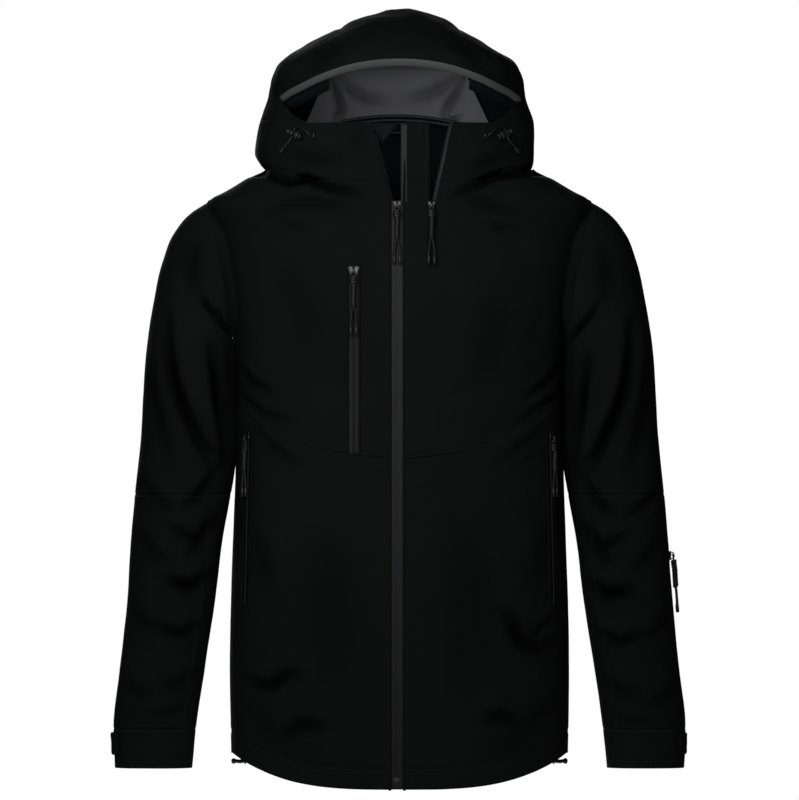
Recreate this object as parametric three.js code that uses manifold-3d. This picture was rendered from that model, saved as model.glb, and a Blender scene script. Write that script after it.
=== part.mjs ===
// A hooded waterproof shell jacket, hanging by the loop inside its collar.
// Millimetres, +Z up, front towards -Y. Heights count up from the middle of the hem;
// the finished group is then moved so that its origin is the bearing face of the hanger loop.

import * as THREE from 'three';
import { mergeVertices } from 'three/addons/utils/BufferGeometryUtils.js';
import Module from 'manifold-3d';

const wasm = await Module();
wasm.setup();

// Cloth
const fabricThickness = 2; // three-layer laminate with its seam allowance
const seamGap = 0.4; // between two panels that are sewn together
const layerGap = 0.6; // between a panel and what lies on or under it
const liningThickness = 1.2;

// Body: the front is a straight line that leans back a little towards the neck
const frontAtHem = -140;
const frontLean = 0.04;
const sideRound = 2.6; // 2 would be an ellipse, more is squarer
const bodySides = 40;
const hemRise = 45; // how far the hem lies higher at the side seams
const hemRisePower = 3.5;
const bodyRows = [
  // height, half width, back
  [0, 211, 118],
  [163, 213.5, 122],
  [456, 206, 128],
  [560, 208, 126],
  [650, 218, 112],
  [700, 228, 103],
  [737, 240, 92],
  [750, 214, 86],
  [765, 190, 80],
  [779, 168, 76],
];

// Sleeves, given for the wearer's left: they hang a little forward at the cuff
const sleeveRound = 2.2;
const sleeveSides = 18;
const sleeveRows = [
  // height, inner edge, outer edge, front, back
  [27, 261, 358, -48, 40],
  [77, 256, 360, -52, 42],
  [152, 245, 353, -58, 44],
  [314, 223, 338, -66, 56],
  [440, 213, 326, -66, 68],
  [560, 212.5, 318, -64, 74],
  [575, 203, 316, -63, 74],
  [616, 190, 309, -62, 74],
  [666, 190, 298, -55, 70],
  [700, 193, 284, -46, 59],
  [727, 203, 260, -31, 42],
  [742, 216, 236, -12, 20],
];

// Hood and collar in one volume
const hoodSides = 32;
const hoodRows = [
  // height, half width, front, back
  [752, 150, -106, 84],
  [779, 169, -109, 102],
  [800, 176, -108, 114],
  [838, 172, -106, 124],
  [870, 162, -118, 128],
  [901, 155, -150, 122],
  [915, 143, -153, 114],
  [935, 117, -143, 100],
  [955, 82, -116, 78],
  [971, 51, -80, 48],
  [981, 14, -45, 10],
];

// Seams
const neckSeam = 765;
const elbowSeam = 372;
const cuffSeam = 77;
const yokeSeam = 620;
const sideSeam = 5; // y of the side and shoulder seams
const chestSeamMiddle = 414;
const chestSeamSide = 484;
const hoodPanelHalf = 75; // half width of the hood's centre panel
const armholeTop = [239, 742];
const armholeBottom = [209.5, 566];

// Face opening and the open top of the two front zips
const collarTop = 838;
const peakMiddle = 918;
const peakCorner = [152, 872];
const peakDepth = 62;
const zipOpenFrom = 739;

// Front zips
const mainZipMiddle = -3;
const mainZipWidth = 14.5;
const neckZipMiddle = 40;
const neckZipWidth = 8;
const neckZipBottom = 655;
const mainFlapOpen = 26; // how far the wearer's right collar flap falls open at its top
const neckFlapOpen = 23;

// Sliders and their braided cord pulls
const tapeThickness = 1.4;
const coilHeight = 0.8;
const coilWidth = 4;
const sliderThickness = 2.6;
const sliderGap = 0.3;
const bridgeHeight = 4;
const pullBarRadius = 0.7;
const pullBarHeight = 1.7; // above the slider's plate

// Cord locks on the hood
const drawcordDiameter = 2.6;
const barrelRadius = 4.5;
const barrelLength = 18;
const buttonRadius = 3;
const buttonTravel = 2.5;
const slideFit = 0.35;

// Hanger loop
const loopWidth = 64;
const loopHeight = 24;
const loopTape = 2;
const loopDepth = 6;
const loopBearingHeight = 828;
const loopSeat = 1.7; // the lining bows this much towards the loop's two ends

const shellBlack = { color: 0x101211, roughness: 0.75, metalness: 0 };
const liningGrey = { color: 0x35373b, roughness: 0.85, metalness: 0 };
const zipGrey = { color: 0x2a2b2d, roughness: 0.6, metalness: 0 };
const metalDark = { color: 0x3a3c40, roughness: 0.4, metalness: 0.8 };
const cordBlack = { color: 0x151617, roughness: 0.8, metalness: 0 };
const plasticBlack = { color: 0x18191b, roughness: 0.45, metalness: 0 };

// Solids

function solid(geometry) {
  const bare = geometry.clone();
  bare.deleteAttribute('normal');
  bare.deleteAttribute('uv');
  const merged = mergeVertices(bare.index ? bare : mergeVertices(bare));
  const mesh = new wasm.Mesh({
    numProp: 3,
    vertProperties: new Float32Array(merged.attributes.position.array),
    triVerts: new Uint32Array(merged.index.array),
  });
  return new wasm.Manifold(mesh);
}

function geometryOf(manifold) {
  const mesh = manifold.getMesh();
  const geometry = new THREE.BufferGeometry();
  geometry.setAttribute('position', new THREE.BufferAttribute(mesh.vertProperties, 3));
  geometry.setIndex(new THREE.BufferAttribute(mesh.triVerts, 1));
  return geometry;
}

const jacket = new THREE.Group();

function addPiece(name, shape, look, parent = jacket) {
  const geometry = shape instanceof THREE.BufferGeometry ? shape : geometryOf(shape);
  const mesh = new THREE.Mesh(geometry, new THREE.MeshStandardMaterial(look));
  mesh.name = name;
  parent.add(mesh);
  return mesh;
}

// A flat outline of [across, height] points, made solid from one y to another
function prism(points, fromY, toY) {
  const outline = new THREE.Shape(points.map(([x, z]) => new THREE.Vector2(x, z)));
  const geometry = new THREE.ExtrudeGeometry(outline, { depth: toY - fromY, bevelEnabled: false });
  geometry.rotateX(Math.PI / 2);
  geometry.translate(0, toY, 0);
  return solid(geometry);
}

function block(fromX, toX, fromY, toY, fromZ, toZ) {
  const geometry = new THREE.BoxGeometry(toX - fromX, toY - fromY, toZ - fromZ);
  geometry.translate((fromX + toX) / 2, (fromY + toY) / 2, (fromZ + toZ) / 2);
  return solid(geometry);
}

function mirrored(points, side) {
  const flipped = points.map(([x, z]) => [side * x, z]);
  return side < 0 ? flipped.reverse() : flipped;
}

// Lofts

const frontAt = (height) => frontAtHem + frontLean * height;

function section(height, left, right, front, back, power) {
  return { height, left, right, front, back, power };
}

function bodySections() {
  return bodyRows.map(([z, half, back]) => section(z, -half, half, frontAt(z), back, sideRound));
}

function hoodSections() {
  return hoodRows.map(([z, half, front, back]) => section(z, -half, half, front, back, sideRound));
}

function sleeveSections(side) {
  return sleeveRows.map(([z, inner, outer, front, back]) => {
    const edges = [side * inner, side * outer].sort((a, b) => a - b);
    return section(z, edges[0], edges[1], front, back, sleeveRound);
  });
}

const signedPower = (value, power) => Math.sign(value) * Math.abs(value) ** power;

// A point of a section's outline; inset pulls it inwards
function rim(row, angle, inset = 0) {
  const halfWide = (row.right - row.left) / 2 - inset;
  const halfDeep = (row.back - row.front) / 2 - inset;
  return new THREE.Vector3(
    (row.right + row.left) / 2 + halfWide * signedPower(Math.cos(angle), 2 / row.power),
    (row.back + row.front) / 2 + halfDeep * signedPower(Math.sin(angle), 2 / row.power),
    row.height,
  );
}

function rowAt(rows, height) {
  const upper = rows.find((row) => row.height >= height) ?? rows.at(-1);
  const lower = rows.findLast((row) => row.height <= height) ?? rows[0];
  const span = upper.height - lower.height;
  const share = span > 0 ? (height - lower.height) / span : 0;
  const mix = (key) => lower[key] + share * (upper[key] - lower[key]);
  return section(height, mix('left'), mix('right'), mix('front'), mix('back'), lower.power);
}

// The closed volume through all sections, made from an upright cylinder's rings
function loft(rows, sides, inset = 0, lift = () => 0) {
  const geometry = new THREE.CylinderGeometry(1, 1, 1, sides, rows.length - 1);
  const position = geometry.attributes.position;
  for (let i = 0; i < position.count; i += 1) {
    const row = rows[Math.round((position.getY(i) + 0.5) * (rows.length - 1))];
    const angle = Math.atan2(-position.getZ(i), position.getX(i));
    const isMiddle = Math.hypot(position.getX(i), position.getZ(i)) < 0.5;
    const point = rim(row, angle, inset);
    if (isMiddle) {
      point.set((row.left + row.right) / 2, (row.front + row.back) / 2, row.height);
    }
    position.setXYZ(i, point.x, point.y, point.z + lift(point, row));
  }
  return solid(geometry);
}

const hemLift = (point, row) =>
  row.height < 1 ? hemRise * (Math.abs(point.x) / bodyRows[0][1]) ** hemRisePower : 0;

// The same volume one cloth thickness in, open below and lower at the top
function inside(rows, sides, inset, loweredFrom) {
  const inner = rows.map((row) => ({
    ...row,
    height: row.height >= loweredFrom ? row.height - inset : row.height,
  }));
  inner.unshift({ ...rows[0], height: rows[0].height - 60 });
  return loft(inner, sides, inset);
}

const body = bodySections();
const hood = hoodSections();
const sleeves = { left: sleeveSections(1), right: sleeveSections(-1) };

function outerVolume() {
  return loft(body, bodySides, 0, hemLift)
    .add(loft(hood, hoodSides))
    .add(loft(sleeves.left, sleeveSides))
    .add(loft(sleeves.right, sleeveSides));
}

function innerVolume(inset) {
  return inside(body, bodySides, inset, 700)
    .add(inside(hood, hoodSides, inset, 901))
    .add(inside(sleeves.left, sleeveSides, inset, 600))
    .add(inside(sleeves.right, sleeveSides, inset, 600));
}

// Panels

const mainHalf = mainZipWidth / 2;
const neckHalf = neckZipWidth / 2;
const placketEdgeTop = [mainZipMiddle + mainHalf + 4, neckZipMiddle - neckHalf - 3];
const openFront = -300;
const openBack = -15;

const mainZipOpening = prism(
  [
    [mainZipMiddle - mainHalf, -80],
    [mainZipMiddle + mainHalf, -80],
    [mainZipMiddle + mainHalf, zipOpenFrom],
    [placketEdgeTop[0], collarTop + 4],
    [mainZipMiddle - mainHalf - mainFlapOpen, collarTop + 4],
    [mainZipMiddle - mainHalf, zipOpenFrom],
  ],
  openFront,
  openBack,
);
const neckZipOpening = prism(
  [
    [neckZipMiddle - neckHalf, neckZipBottom],
    [neckZipMiddle + neckHalf, neckZipBottom],
    [neckZipMiddle + neckHalf, zipOpenFrom],
    [neckZipMiddle + neckHalf + neckFlapOpen, collarTop + 4],
    [placketEdgeTop[1], collarTop + 4],
    [neckZipMiddle - neckHalf, zipOpenFrom],
  ],
  openFront,
  openBack,
);
const faceEdge = [
  [0, collarTop],
  [118, collarTop - 1],
  [148, 850],
  peakCorner,
  [105, 897],
  [55, 912],
  [0, peakMiddle],
];
const faceOpening = prism(
  [...faceEdge, ...mirrored(faceEdge.slice(1, -1), -1)],
  openFront,
  openBack,
);

const cloth = outerVolume()
  .subtract(innerVolume(fabricThickness))
  .subtract(mainZipOpening)
  .subtract(neckZipOpening)
  .subtract(faceOpening);

const far = 600;
const halfSeam = seamGap / 2;

// The line between the body and a sleeve, seen from the front, from the hem to above the shoulder
const armholeLine = [
  [243, -60],
  [236, 152],
  [224, 240],
  [213, 372],
  [210.5, 440],
  [210.3, 555],
  armholeBottom,
  armholeTop,
  [242, 800],
];

function sleeveRegion(side, from, to) {
  const edge = armholeLine.map(([x, z]) => [x + halfSeam, z]);
  return prism(mirrored([...edge, [far, 800], [far, -60]].reverse(), side), -far, far)
    .intersect(block(-far, far, -far, far, from + halfSeam, to - halfSeam));
}

const bodyRegion = prism(
  [
    ...armholeLine.map(([x, z]) => [x - halfSeam, z]),
    ...armholeLine.map(([x, z]) => [-x + halfSeam, z]).reverse(),
  ],
  -far,
  far,
);

const chestSeamLine = [
  [0, chestSeamMiddle],
  [77, chestSeamMiddle + 11],
  [125, chestSeamMiddle + 21],
  [161, chestSeamMiddle + 44],
  [192, chestSeamSide],
  [260, chestSeamSide + 40],
];

function aboveChestSeam(side) {
  return prism(
    mirrored([...chestSeamLine.map(([x, z]) => [x, z + halfSeam]), [260, 800], [0, 800]], side),
    -far,
    sideSeam - halfSeam,
  );
}

function belowChestSeam(side) {
  return prism(
    mirrored([...chestSeamLine.map(([x, z]) => [x, z - halfSeam]), [260, -60], [0, -60]].reverse(), side),
    -far,
    sideSeam - halfSeam,
  );
}

// The front splits at the main zip, which lies a little to one side of the middle
function frontHalf(side) {
  return side > 0
    ? block(mainZipMiddle, far, -far, far, -far, neckSeam - halfSeam)
    : block(-far, mainZipMiddle, -far, far, -far, neckSeam - halfSeam);
}

const chestCut = aboveChestSeam(1).add(aboveChestSeam(-1));
const lowerCut = belowChestSeam(1).add(belowChestSeam(-1));
const bodyCloth = cloth.intersect(bodyRegion);
for (const [wearer, side] of [['left', 1], ['right', -1]]) {
  const half = bodyCloth.intersect(frontHalf(side));
  addPiece(`front_chest_${wearer}`, half.intersect(chestCut), shellBlack);
  addPiece(`front_lower_${wearer}`, half.intersect(lowerCut), shellBlack);
}
const backOf = (from, to) => block(-far, far, sideSeam + halfSeam, far, from, to);
addPiece('back_yoke', bodyCloth.intersect(backOf(yokeSeam + halfSeam, neckSeam - halfSeam)), shellBlack);
addPiece('back_panel', bodyCloth.intersect(backOf(-80, yokeSeam - halfSeam)), shellBlack);

for (const [wearer, side] of [['left', 1], ['right', -1]]) {
  const cut = (from, to) => cloth.intersect(sleeveRegion(side, from, to));
  addPiece(`upper_sleeve_${wearer}`, cut(elbowSeam, 790), shellBlack);
  addPiece(`forearm_${wearer}`, cut(cuffSeam, elbowSeam), shellBlack);
  addPiece(`cuff_${wearer}`, cut(-20, cuffSeam), shellBlack);
}

// Collar and hood above the neck seam
const collarBack = 20;
const hoodCloth = cloth.intersect(block(-240, 240, -far, far, neckSeam + halfSeam, 1000));
const collarCloth = hoodCloth.intersect(
  block(-240, 240, -far, collarBack - halfSeam, neckSeam, collarTop + 4),
);
const placketMiddle = (mainZipMiddle + neckZipMiddle) / 2;
addPiece('collar_right', collarCloth.intersect(block(-240, mainZipMiddle, -far, far, 0, far * 2)), shellBlack);
addPiece('collar_left', collarCloth.intersect(block(neckZipMiddle, 240, -far, far, 0, far * 2)), shellBlack);
addPiece(
  'collar_placket',
  collarCloth.intersect(block(placketMiddle - 20, placketMiddle + 20, -far, 0, 0, far * 2)),
  shellBlack,
);

const peakBack = Math.min(...hoodRows.map((row) => row[2])) + peakDepth;
const aboveCollar = hoodCloth.subtract(
  block(-240, 240, -far, collarBack + halfSeam, neckSeam - 10, collarTop + 4 + seamGap),
);
const peakRegion = block(-240, 240, -far, peakBack - halfSeam, peakCorner[1] - 1, 1000);
addPiece('hood_peak', aboveCollar.intersect(peakRegion), shellBlack);
const behindPeak = aboveCollar.subtract(
  block(-240, 240, -far, peakBack + halfSeam, peakCorner[1] - 1 - seamGap, 1000),
);
addPiece(
  'hood_centre',
  behindPeak.intersect(block(-hoodPanelHalf, hoodPanelHalf, -far, far, 0, 1000)),
  shellBlack,
);
for (const [wearer, side] of [['left', 1], ['right', -1]]) {
  const edges = [side * (hoodPanelHalf + seamGap), side * 240].sort((a, b) => a - b);
  addPiece(
    `hood_side_${wearer}`,
    behindPeak.intersect(block(edges[0], edges[1], -far, far, 0, 1000)),
    shellBlack,
  );
}

// Inner layers

function layer(rows, sides, from, thickness, region, loweredFrom) {
  const outer = inside(rows, sides, from, loweredFrom);
  return outer.subtract(inside(rows, sides, from + thickness, loweredFrom)).intersect(region);
}

const underCloth = fabricThickness + layerGap;
addPiece(
  'hood_lining',
  layer(hood, hoodSides, underCloth, liningThickness, block(-240, 240, 0, far, 790, 1000), 901),
  liningGrey,
);
const neckTapeInset = underCloth + liningThickness + 0.4;
addPiece(
  'neck_tape',
  layer(hood, hoodSides, neckTapeInset, 3, block(-95, 95, 60, far, collarTop - 2, collarTop + 10), 901),
  liningGrey,
);
addPiece(
  'storm_flap',
  layer(body, bodySides, underCloth, liningThickness, block(-22, 18, -far, 0, 6, zipOpenFrom - 8), 700),
  shellBlack,
);

const bagInset = underCloth + 0.4;
addPiece(
  'chest_pocket_bag',
  layer(body, bodySides, bagInset, liningThickness, block(-150, -26, -far, 0, 440, 665), 700),
  liningGrey,
);
for (const [wearer, side] of [['left', 1], ['right', -1]]) {
  const edges = [side * 60, side * 197].sort((a, b) => a - b);
  addPiece(
    `hand_pocket_bag_${wearer}`,
    layer(body, bodySides, bagInset, liningThickness, block(edges[0], edges[1], -far, -20, 150, 432), 700),
    liningGrey,
  );
}

// A frame that lies on the cloth

// x runs across, y up along the cloth and z out of it, at a height between two ends
function onCloth(rows, angleOf, from, to, at) {
  const lowRow = rowAt(rows, from);
  const highRow = rowAt(rows, to);
  const low = rim(lowRow, angleOf(lowRow));
  const high = rim(highRow, angleOf(highRow));
  const up = high.clone().sub(low).normalize();
  const row = rowAt(rows, (from + to) / 2);
  const angle = angleOf(row);
  const step = 0.02;
  const along = rim(row, angle + step).sub(rim(row, angle - step));
  const out = along.cross(up).normalize();
  const across = up.clone().cross(out);
  const place = new THREE.Group();
  place.quaternion.setFromRotationMatrix(new THREE.Matrix4().makeBasis(across, up, out));
  place.position.lerpVectors(low, high, (at - from) / (to - from));
  jacket.add(place);
  return place;
}

// Where on a section's outline its front stands at x
const standingAt = (x) => (row) => -Math.acos(signedPower(x / row.right, row.power / 2));
const alwaysAt = (angle) => () => angle;

// Zips

function tapeShape(width, length) {
  const half = width / 2;
  const ridge = coilWidth / 2;
  const outline = new THREE.Shape([
    new THREE.Vector2(-half, 0),
    new THREE.Vector2(half, 0),
    new THREE.Vector2(half, tapeThickness),
    new THREE.Vector2(ridge, tapeThickness),
    new THREE.Vector2(ridge - 0.7, tapeThickness + coilHeight),
    new THREE.Vector2(-ridge + 0.7, tapeThickness + coilHeight),
    new THREE.Vector2(-ridge, tapeThickness),
    new THREE.Vector2(-half, tapeThickness),
  ]);
  const geometry = new THREE.ExtrudeGeometry(outline, { depth: length, bevelEnabled: false });
  geometry.rotateX(Math.PI / 2);
  geometry.translate(0, length / 2, 0);
  return geometry;
}

// Plate, nose and a bridge that the pull's bar passes under
function sliderShape(width, length) {
  const half = width / 2;
  const end = length / 2;
  const plate = new THREE.Shape([
    new THREE.Vector2(-half * 0.66, -end),
    new THREE.Vector2(half * 0.66, -end),
    new THREE.Vector2(half * 0.8, -end * 0.3),
    new THREE.Vector2(half, end * 0.5),
    new THREE.Vector2(half * 0.8, end),
    new THREE.Vector2(-half * 0.8, end),
    new THREE.Vector2(-half, end * 0.5),
    new THREE.Vector2(-half * 0.8, -end * 0.3),
  ]);
  const flat = new THREE.ExtrudeGeometry(plate, { depth: sliderThickness, bevelEnabled: false });
  const reach = length * 0.36;
  const arch = new THREE.Shape([
    new THREE.Vector2(-reach, -0.4),
    new THREE.Vector2(reach, -0.4),
    new THREE.Vector2(reach, bridgeHeight * 0.7),
    new THREE.Vector2(reach * 0.6, bridgeHeight),
    new THREE.Vector2(-reach * 0.6, bridgeHeight),
    new THREE.Vector2(-reach, bridgeHeight * 0.7),
  ]);
  const gap = pullBarHeight + pullBarRadius + slideFit;
  arch.holes.push(new THREE.Path([
    new THREE.Vector2(-reach + 1.3, 0.5),
    new THREE.Vector2(-reach + 1.3, gap),
    new THREE.Vector2(reach - 1.3, gap),
    new THREE.Vector2(reach - 1.3, 0.5),
  ]));
  const bridge = new THREE.ExtrudeGeometry(arch, { depth: 2.2, bevelEnabled: false });
  bridge.translate(0, 0, -1.1);
  bridge.rotateX(Math.PI / 2);
  bridge.rotateZ(Math.PI / 2);
  bridge.translate(0, 0, sliderThickness);
  return solid(flat).add(solid(bridge));
}

// An eye around the bridge, a braided cord and its two free tails; y = 0 is the hinge
function pullShape(length) {
  const bar = new THREE.CylinderGeometry(pullBarRadius, pullBarRadius, 6.4, 6);
  bar.rotateZ(Math.PI / 2);
  const arm = (x) => block(x - 0.7, x + 0.7, -9, 0.5, -pullBarRadius, pullBarRadius);
  const foot = block(-3.2, 3.2, -10.4, -8.2, -pullBarRadius, pullBarRadius);
  const braid = length * 0.5;
  const profile = [new THREE.Vector2(0, 0)];
  const knots = 3;
  for (let i = 0; i < knots; i += 1) {
    profile.push(new THREE.Vector2(1.9, (-braid * (i + 0.08)) / knots));
    profile.push(new THREE.Vector2(2.9, (-braid * (i + 0.5)) / knots));
  }
  profile.push(new THREE.Vector2(1.9, -braid));
  profile.push(new THREE.Vector2(0, -braid));
  const cord = new THREE.LatheGeometry(profile.reverse(), 6);
  cord.translate(0, -9.6, 0);
  let pull = solid(bar).add(arm(-2.5)).add(arm(2.5)).add(foot).add(solid(cord));
  const tailLength = length - braid - 9;
  for (const lean of [-0.13, 0.13]) {
    const tail = new THREE.CylinderGeometry(1.3, 1.2, tailLength, 6);
    tail.translate(0, -tailLength / 2, 0);
    tail.rotateZ(lean);
    tail.translate(Math.sign(lean) * 0.6, -9.2 - braid, 0);
    pull = pull.add(solid(tail));
  }
  return pull;
}

// A closed zip along one line of the cloth: from and to are its ends, at is the slider's height
function addZip(name, rows, angleOf, from, to, at, width, lift, sliderSize, pullLength) {
  const place = onCloth(rows, angleOf, from, to, at);
  const slope = new THREE.Vector3(0, 1, 0).applyQuaternion(place.quaternion).z;
  const tape = addPiece(`${name}_zip_tape`, tapeShape(width, (to - from) / slope), zipGrey, place);
  tape.position.set(0, ((from + to) / 2 - at) / slope, lift);
  const plateHeight = lift + tapeThickness + coilHeight + sliderGap;
  const slider = addPiece(`${name}_zip_slider`, sliderShape(...sliderSize), metalDark, place);
  slider.position.z = plateHeight;
  const pull = addPiece(`${name}_zip_pull`, pullShape(pullLength), cordBlack, place);
  pull.position.z = plateHeight + sliderThickness + pullBarHeight;
}

const sunk = -tapeThickness - 0.3; // the front tapes fill the slot between two panels
const onMain = standingAt(mainZipMiddle);
addZip('main', body, onMain, 4, zipOpenFrom - 1, 733, mainZipWidth - 2 * 0.4, sunk, [9, 12], 74);
addZip('neck', body, standingAt(neckZipMiddle), neckZipBottom + 0.5, zipOpenFrom - 1, 733, neckZipWidth - 2 * 0.4, sunk, [8, 11], 74);
addZip('chest_pocket', body, standingAt(-57), 422, 659, 650, 14, layerGap, [8, 11], 62);
for (const [wearer, side] of [['left', 1], ['right', -1]]) {
  const angle = standingAt(side * 190)(rowAt(body, 340));
  addZip(`hand_pocket_${wearer}`, body, alwaysAt(angle), 231, 452, 440, 13, layerGap, [8, 11], 72);
}
addZip('sleeve_pocket', sleeves.left, alwaysAt(0), 156, 308, 294, 13, layerGap, [8, 11], 72);

// The box at the foot of the main zip, on the front of its tape
const zipBox = onCloth(body, onMain, 4, zipOpenFrom - 1, 12);
addPiece('main_zip_box', block(-5.5, 5.5, -6, 6, 0, 1.3), metalDark, zipBox)
  .position.z = sunk + tapeThickness + coilHeight + sliderGap;

// Cuff tabs

for (const [wearer, side] of [['left', 1], ['right', -1]]) {
  const rows = sleeves[wearer];
  const skin = loft(rows, sleeveSides, -3.2).subtract(loft(rows, sleeveSides, -layerGap));
  const tab = prism(mirrored([[318, 44], [400, 44], [400, 72], [318, 72]], side), -30, 60);
  addPiece(`cuff_tab_${wearer}`, skin.intersect(tab), shellBlack);
}

// Hood drawcords

// Local route: along the barrel, up across it, out of the cloth
const drawcordRoute = [
  [-20, 7, 1.6],
  [-19.6, 7.2, 3.4],
  [-18, 7.8, 4.9],
  [-15, 8.8, 5.6],
  [-11, 9.9, 5.7],
  [-7, 10.8, 5.6],
  [-3, 11.2, 5.5],
  [0.6, 10.6, 5.4],
  [3, 8.6, 5.3],
  [4, 5.8, 5.3],
  [4, 2, 5.3],
  [4, -2, 5.3],
  [4, -6, 5.3],
  [4.3, -10, 5.4],
  [5.4, -14, 5.6],
  [6.8, -17.5, 5.7],
  [8, -21, 5.7],
];
const barrelHeight = barrelRadius + layerGap + 0.2;
const holeAt = 4;

function cordTube(points, diameter, sides) {
  const curve = new THREE.CatmullRomCurve3(points.map((p) => new THREE.Vector3(...p)));
  const ring = new THREE.Shape();
  ring.moveTo(diameter / 2, 0);
  for (let i = 1; i < sides; i += 1) {
    const angle = (2 * Math.PI * i) / sides;
    ring.lineTo((diameter / 2) * Math.cos(angle), (diameter / 2) * Math.sin(angle));
  }
  const steps = Math.ceil(curve.getLength() / (2.4 * diameter)) + 6;
  return new THREE.ExtrudeGeometry(ring, { steps, extrudePath: curve, bevelEnabled: false });
}

// A cylinder that lies along local x, centred on the barrel's line
function lying(radius, fromX, toX, sides = 12) {
  const geometry = new THREE.CylinderGeometry(radius, radius, toX - fromX, sides);
  geometry.rotateZ(Math.PI / 2);
  geometry.translate((fromX + toX) / 2, 0, barrelHeight);
  return solid(geometry);
}

for (const [wearer, side] of [['left', 1], ['right', -1]]) {
  const place = onCloth(hood, standingAt(side * 128), 800, 838, 822);
  const turned = new THREE.Group();
  turned.rotation.z = (side * 25 * Math.PI) / 180;
  place.add(turned);
  const flip = ([x, y, z]) => [side * x, y, z];
  const span = (a, b) => [side * a, side * b].sort((p, q) => p - q);
  const hole = new THREE.CylinderGeometry(drawcordDiameter / 2 + 0.5, drawcordDiameter / 2 + 0.5, 20, 8);
  hole.translate(side * holeAt, 0, 5.3);
  const well = lying(buttonRadius + slideFit, ...span(-4, 20));
  const barrel = lying(barrelRadius, ...span(8 - barrelLength, 8)).subtract(well).subtract(solid(hole));
  addPiece(`hood_lock_${wearer}`, barrel, plasticBlack, turned);
  const slotHalf = drawcordDiameter / 2 + 0.5;
  const slot = span(holeAt - slotHalf, holeAt + slotHalf + buttonTravel);
  const button = lying(buttonRadius, ...span(-0.8, 12)).subtract(
    block(slot[0], slot[1], -10, 10, 5.3 - slotHalf, 5.3 + slotHalf),
  );
  addPiece(`hood_lock_button_${wearer}`, button, zipGrey, turned);
  addPiece(
    `hood_drawcord_${wearer}`,
    cordTube(drawcordRoute.map(flip), drawcordDiameter, 8),
    cordBlack,
    turned,
  );
  const stopper = new THREE.CylinderGeometry(2.6, 2.2, 8, 10);
  stopper.rotateZ(side * 0.3);
  const end = new THREE.Vector3(...flip(drawcordRoute.at(-1)));
  stopper.translate(end.x + side * 1.4, end.y - 4.5, end.z);
  addPiece(`hood_drawcord_stopper_${wearer}`, stopper, plasticBlack, turned);
  const eyelet = new THREE.LatheGeometry([
    new THREE.Vector2(2.1, 0),
    new THREE.Vector2(4.2, 0),
    new THREE.Vector2(4, 0.8),
    new THREE.Vector2(3.2, 1.3),
    new THREE.Vector2(2.1, 1.3),
    new THREE.Vector2(2.1, 0),
  ], 10);
  eyelet.rotateX(Math.PI / 2);
  eyelet.translate(side * drawcordRoute[0][0], drawcordRoute[0][1], layerGap);
  addPiece(`hood_eyelet_${wearer}`, eyelet, metalDark, turned);
}

// Hem cord grips

const hemHalf = bodyRows[0][1];
for (const [wearer, side] of [['left', 1], ['right', -1]]) {
  const x = hemHalf - 7;
  const height = hemRise * (x / hemHalf) ** hemRisePower;
  const slope = Math.atan((hemRise * hemRisePower * (x / hemHalf) ** (hemRisePower - 1)) / hemHalf);
  const grip = block(-6, 6, -7, 7, -9, 0.3);
  const mesh = addPiece(`hem_grip_${wearer}`, grip, plasticBlack);
  mesh.position.set(side * x, (body[0].front + body[0].back) / 2, height);
  mesh.rotation.y = -side * slope;
}

// Hanger loop

const loopHalf = loopWidth / 2;
const loopLow = loopBearingHeight + loopTape - loopHeight;
const loopOutline = [
  [-loopHalf, loopLow],
  [-loopHalf + 5, loopLow],
  [-loopHalf + 5, loopBearingHeight],
  [loopHalf - 5, loopBearingHeight],
  [loopHalf - 5, loopLow],
  [loopHalf, loopLow],
  [loopHalf, loopBearingHeight + loopTape],
  [-loopHalf, loopBearingHeight + loopTape],
];
const loopRow = rowAt(hood, loopLow);
const loopBack = loopRow.back - underCloth - liningThickness - loopSeat;
addPiece('hanger_loop', prism(loopOutline, loopBack - loopDepth, loopBack), liningGrey);

jacket.position.set(0, -(loopBack - loopDepth / 2), -loopBearingHeight);

export default jacket;
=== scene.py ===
import math

import bmesh
import bpy
import numpy as np
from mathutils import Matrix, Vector


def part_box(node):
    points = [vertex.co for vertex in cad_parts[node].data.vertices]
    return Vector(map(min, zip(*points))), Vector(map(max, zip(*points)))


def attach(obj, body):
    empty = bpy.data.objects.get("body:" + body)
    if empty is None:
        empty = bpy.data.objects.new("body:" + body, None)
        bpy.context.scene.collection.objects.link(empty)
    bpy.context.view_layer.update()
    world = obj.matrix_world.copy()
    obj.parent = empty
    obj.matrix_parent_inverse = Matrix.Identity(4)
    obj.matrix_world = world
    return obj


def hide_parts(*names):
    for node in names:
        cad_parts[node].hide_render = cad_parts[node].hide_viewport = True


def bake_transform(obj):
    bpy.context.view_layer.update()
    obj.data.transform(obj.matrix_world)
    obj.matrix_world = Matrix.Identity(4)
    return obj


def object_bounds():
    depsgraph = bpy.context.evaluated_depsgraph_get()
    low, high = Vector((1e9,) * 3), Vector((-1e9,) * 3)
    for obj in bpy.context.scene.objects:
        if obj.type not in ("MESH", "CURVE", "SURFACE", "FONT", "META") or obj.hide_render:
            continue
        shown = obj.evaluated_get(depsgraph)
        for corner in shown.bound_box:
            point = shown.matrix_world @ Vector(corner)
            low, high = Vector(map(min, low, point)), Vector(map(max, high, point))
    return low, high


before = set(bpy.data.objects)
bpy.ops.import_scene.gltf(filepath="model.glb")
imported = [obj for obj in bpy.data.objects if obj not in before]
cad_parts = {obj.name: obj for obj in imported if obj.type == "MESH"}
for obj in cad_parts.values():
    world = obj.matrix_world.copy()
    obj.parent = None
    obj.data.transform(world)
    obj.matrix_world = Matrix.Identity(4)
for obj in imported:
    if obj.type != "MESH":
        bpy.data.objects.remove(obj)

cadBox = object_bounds()

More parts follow.
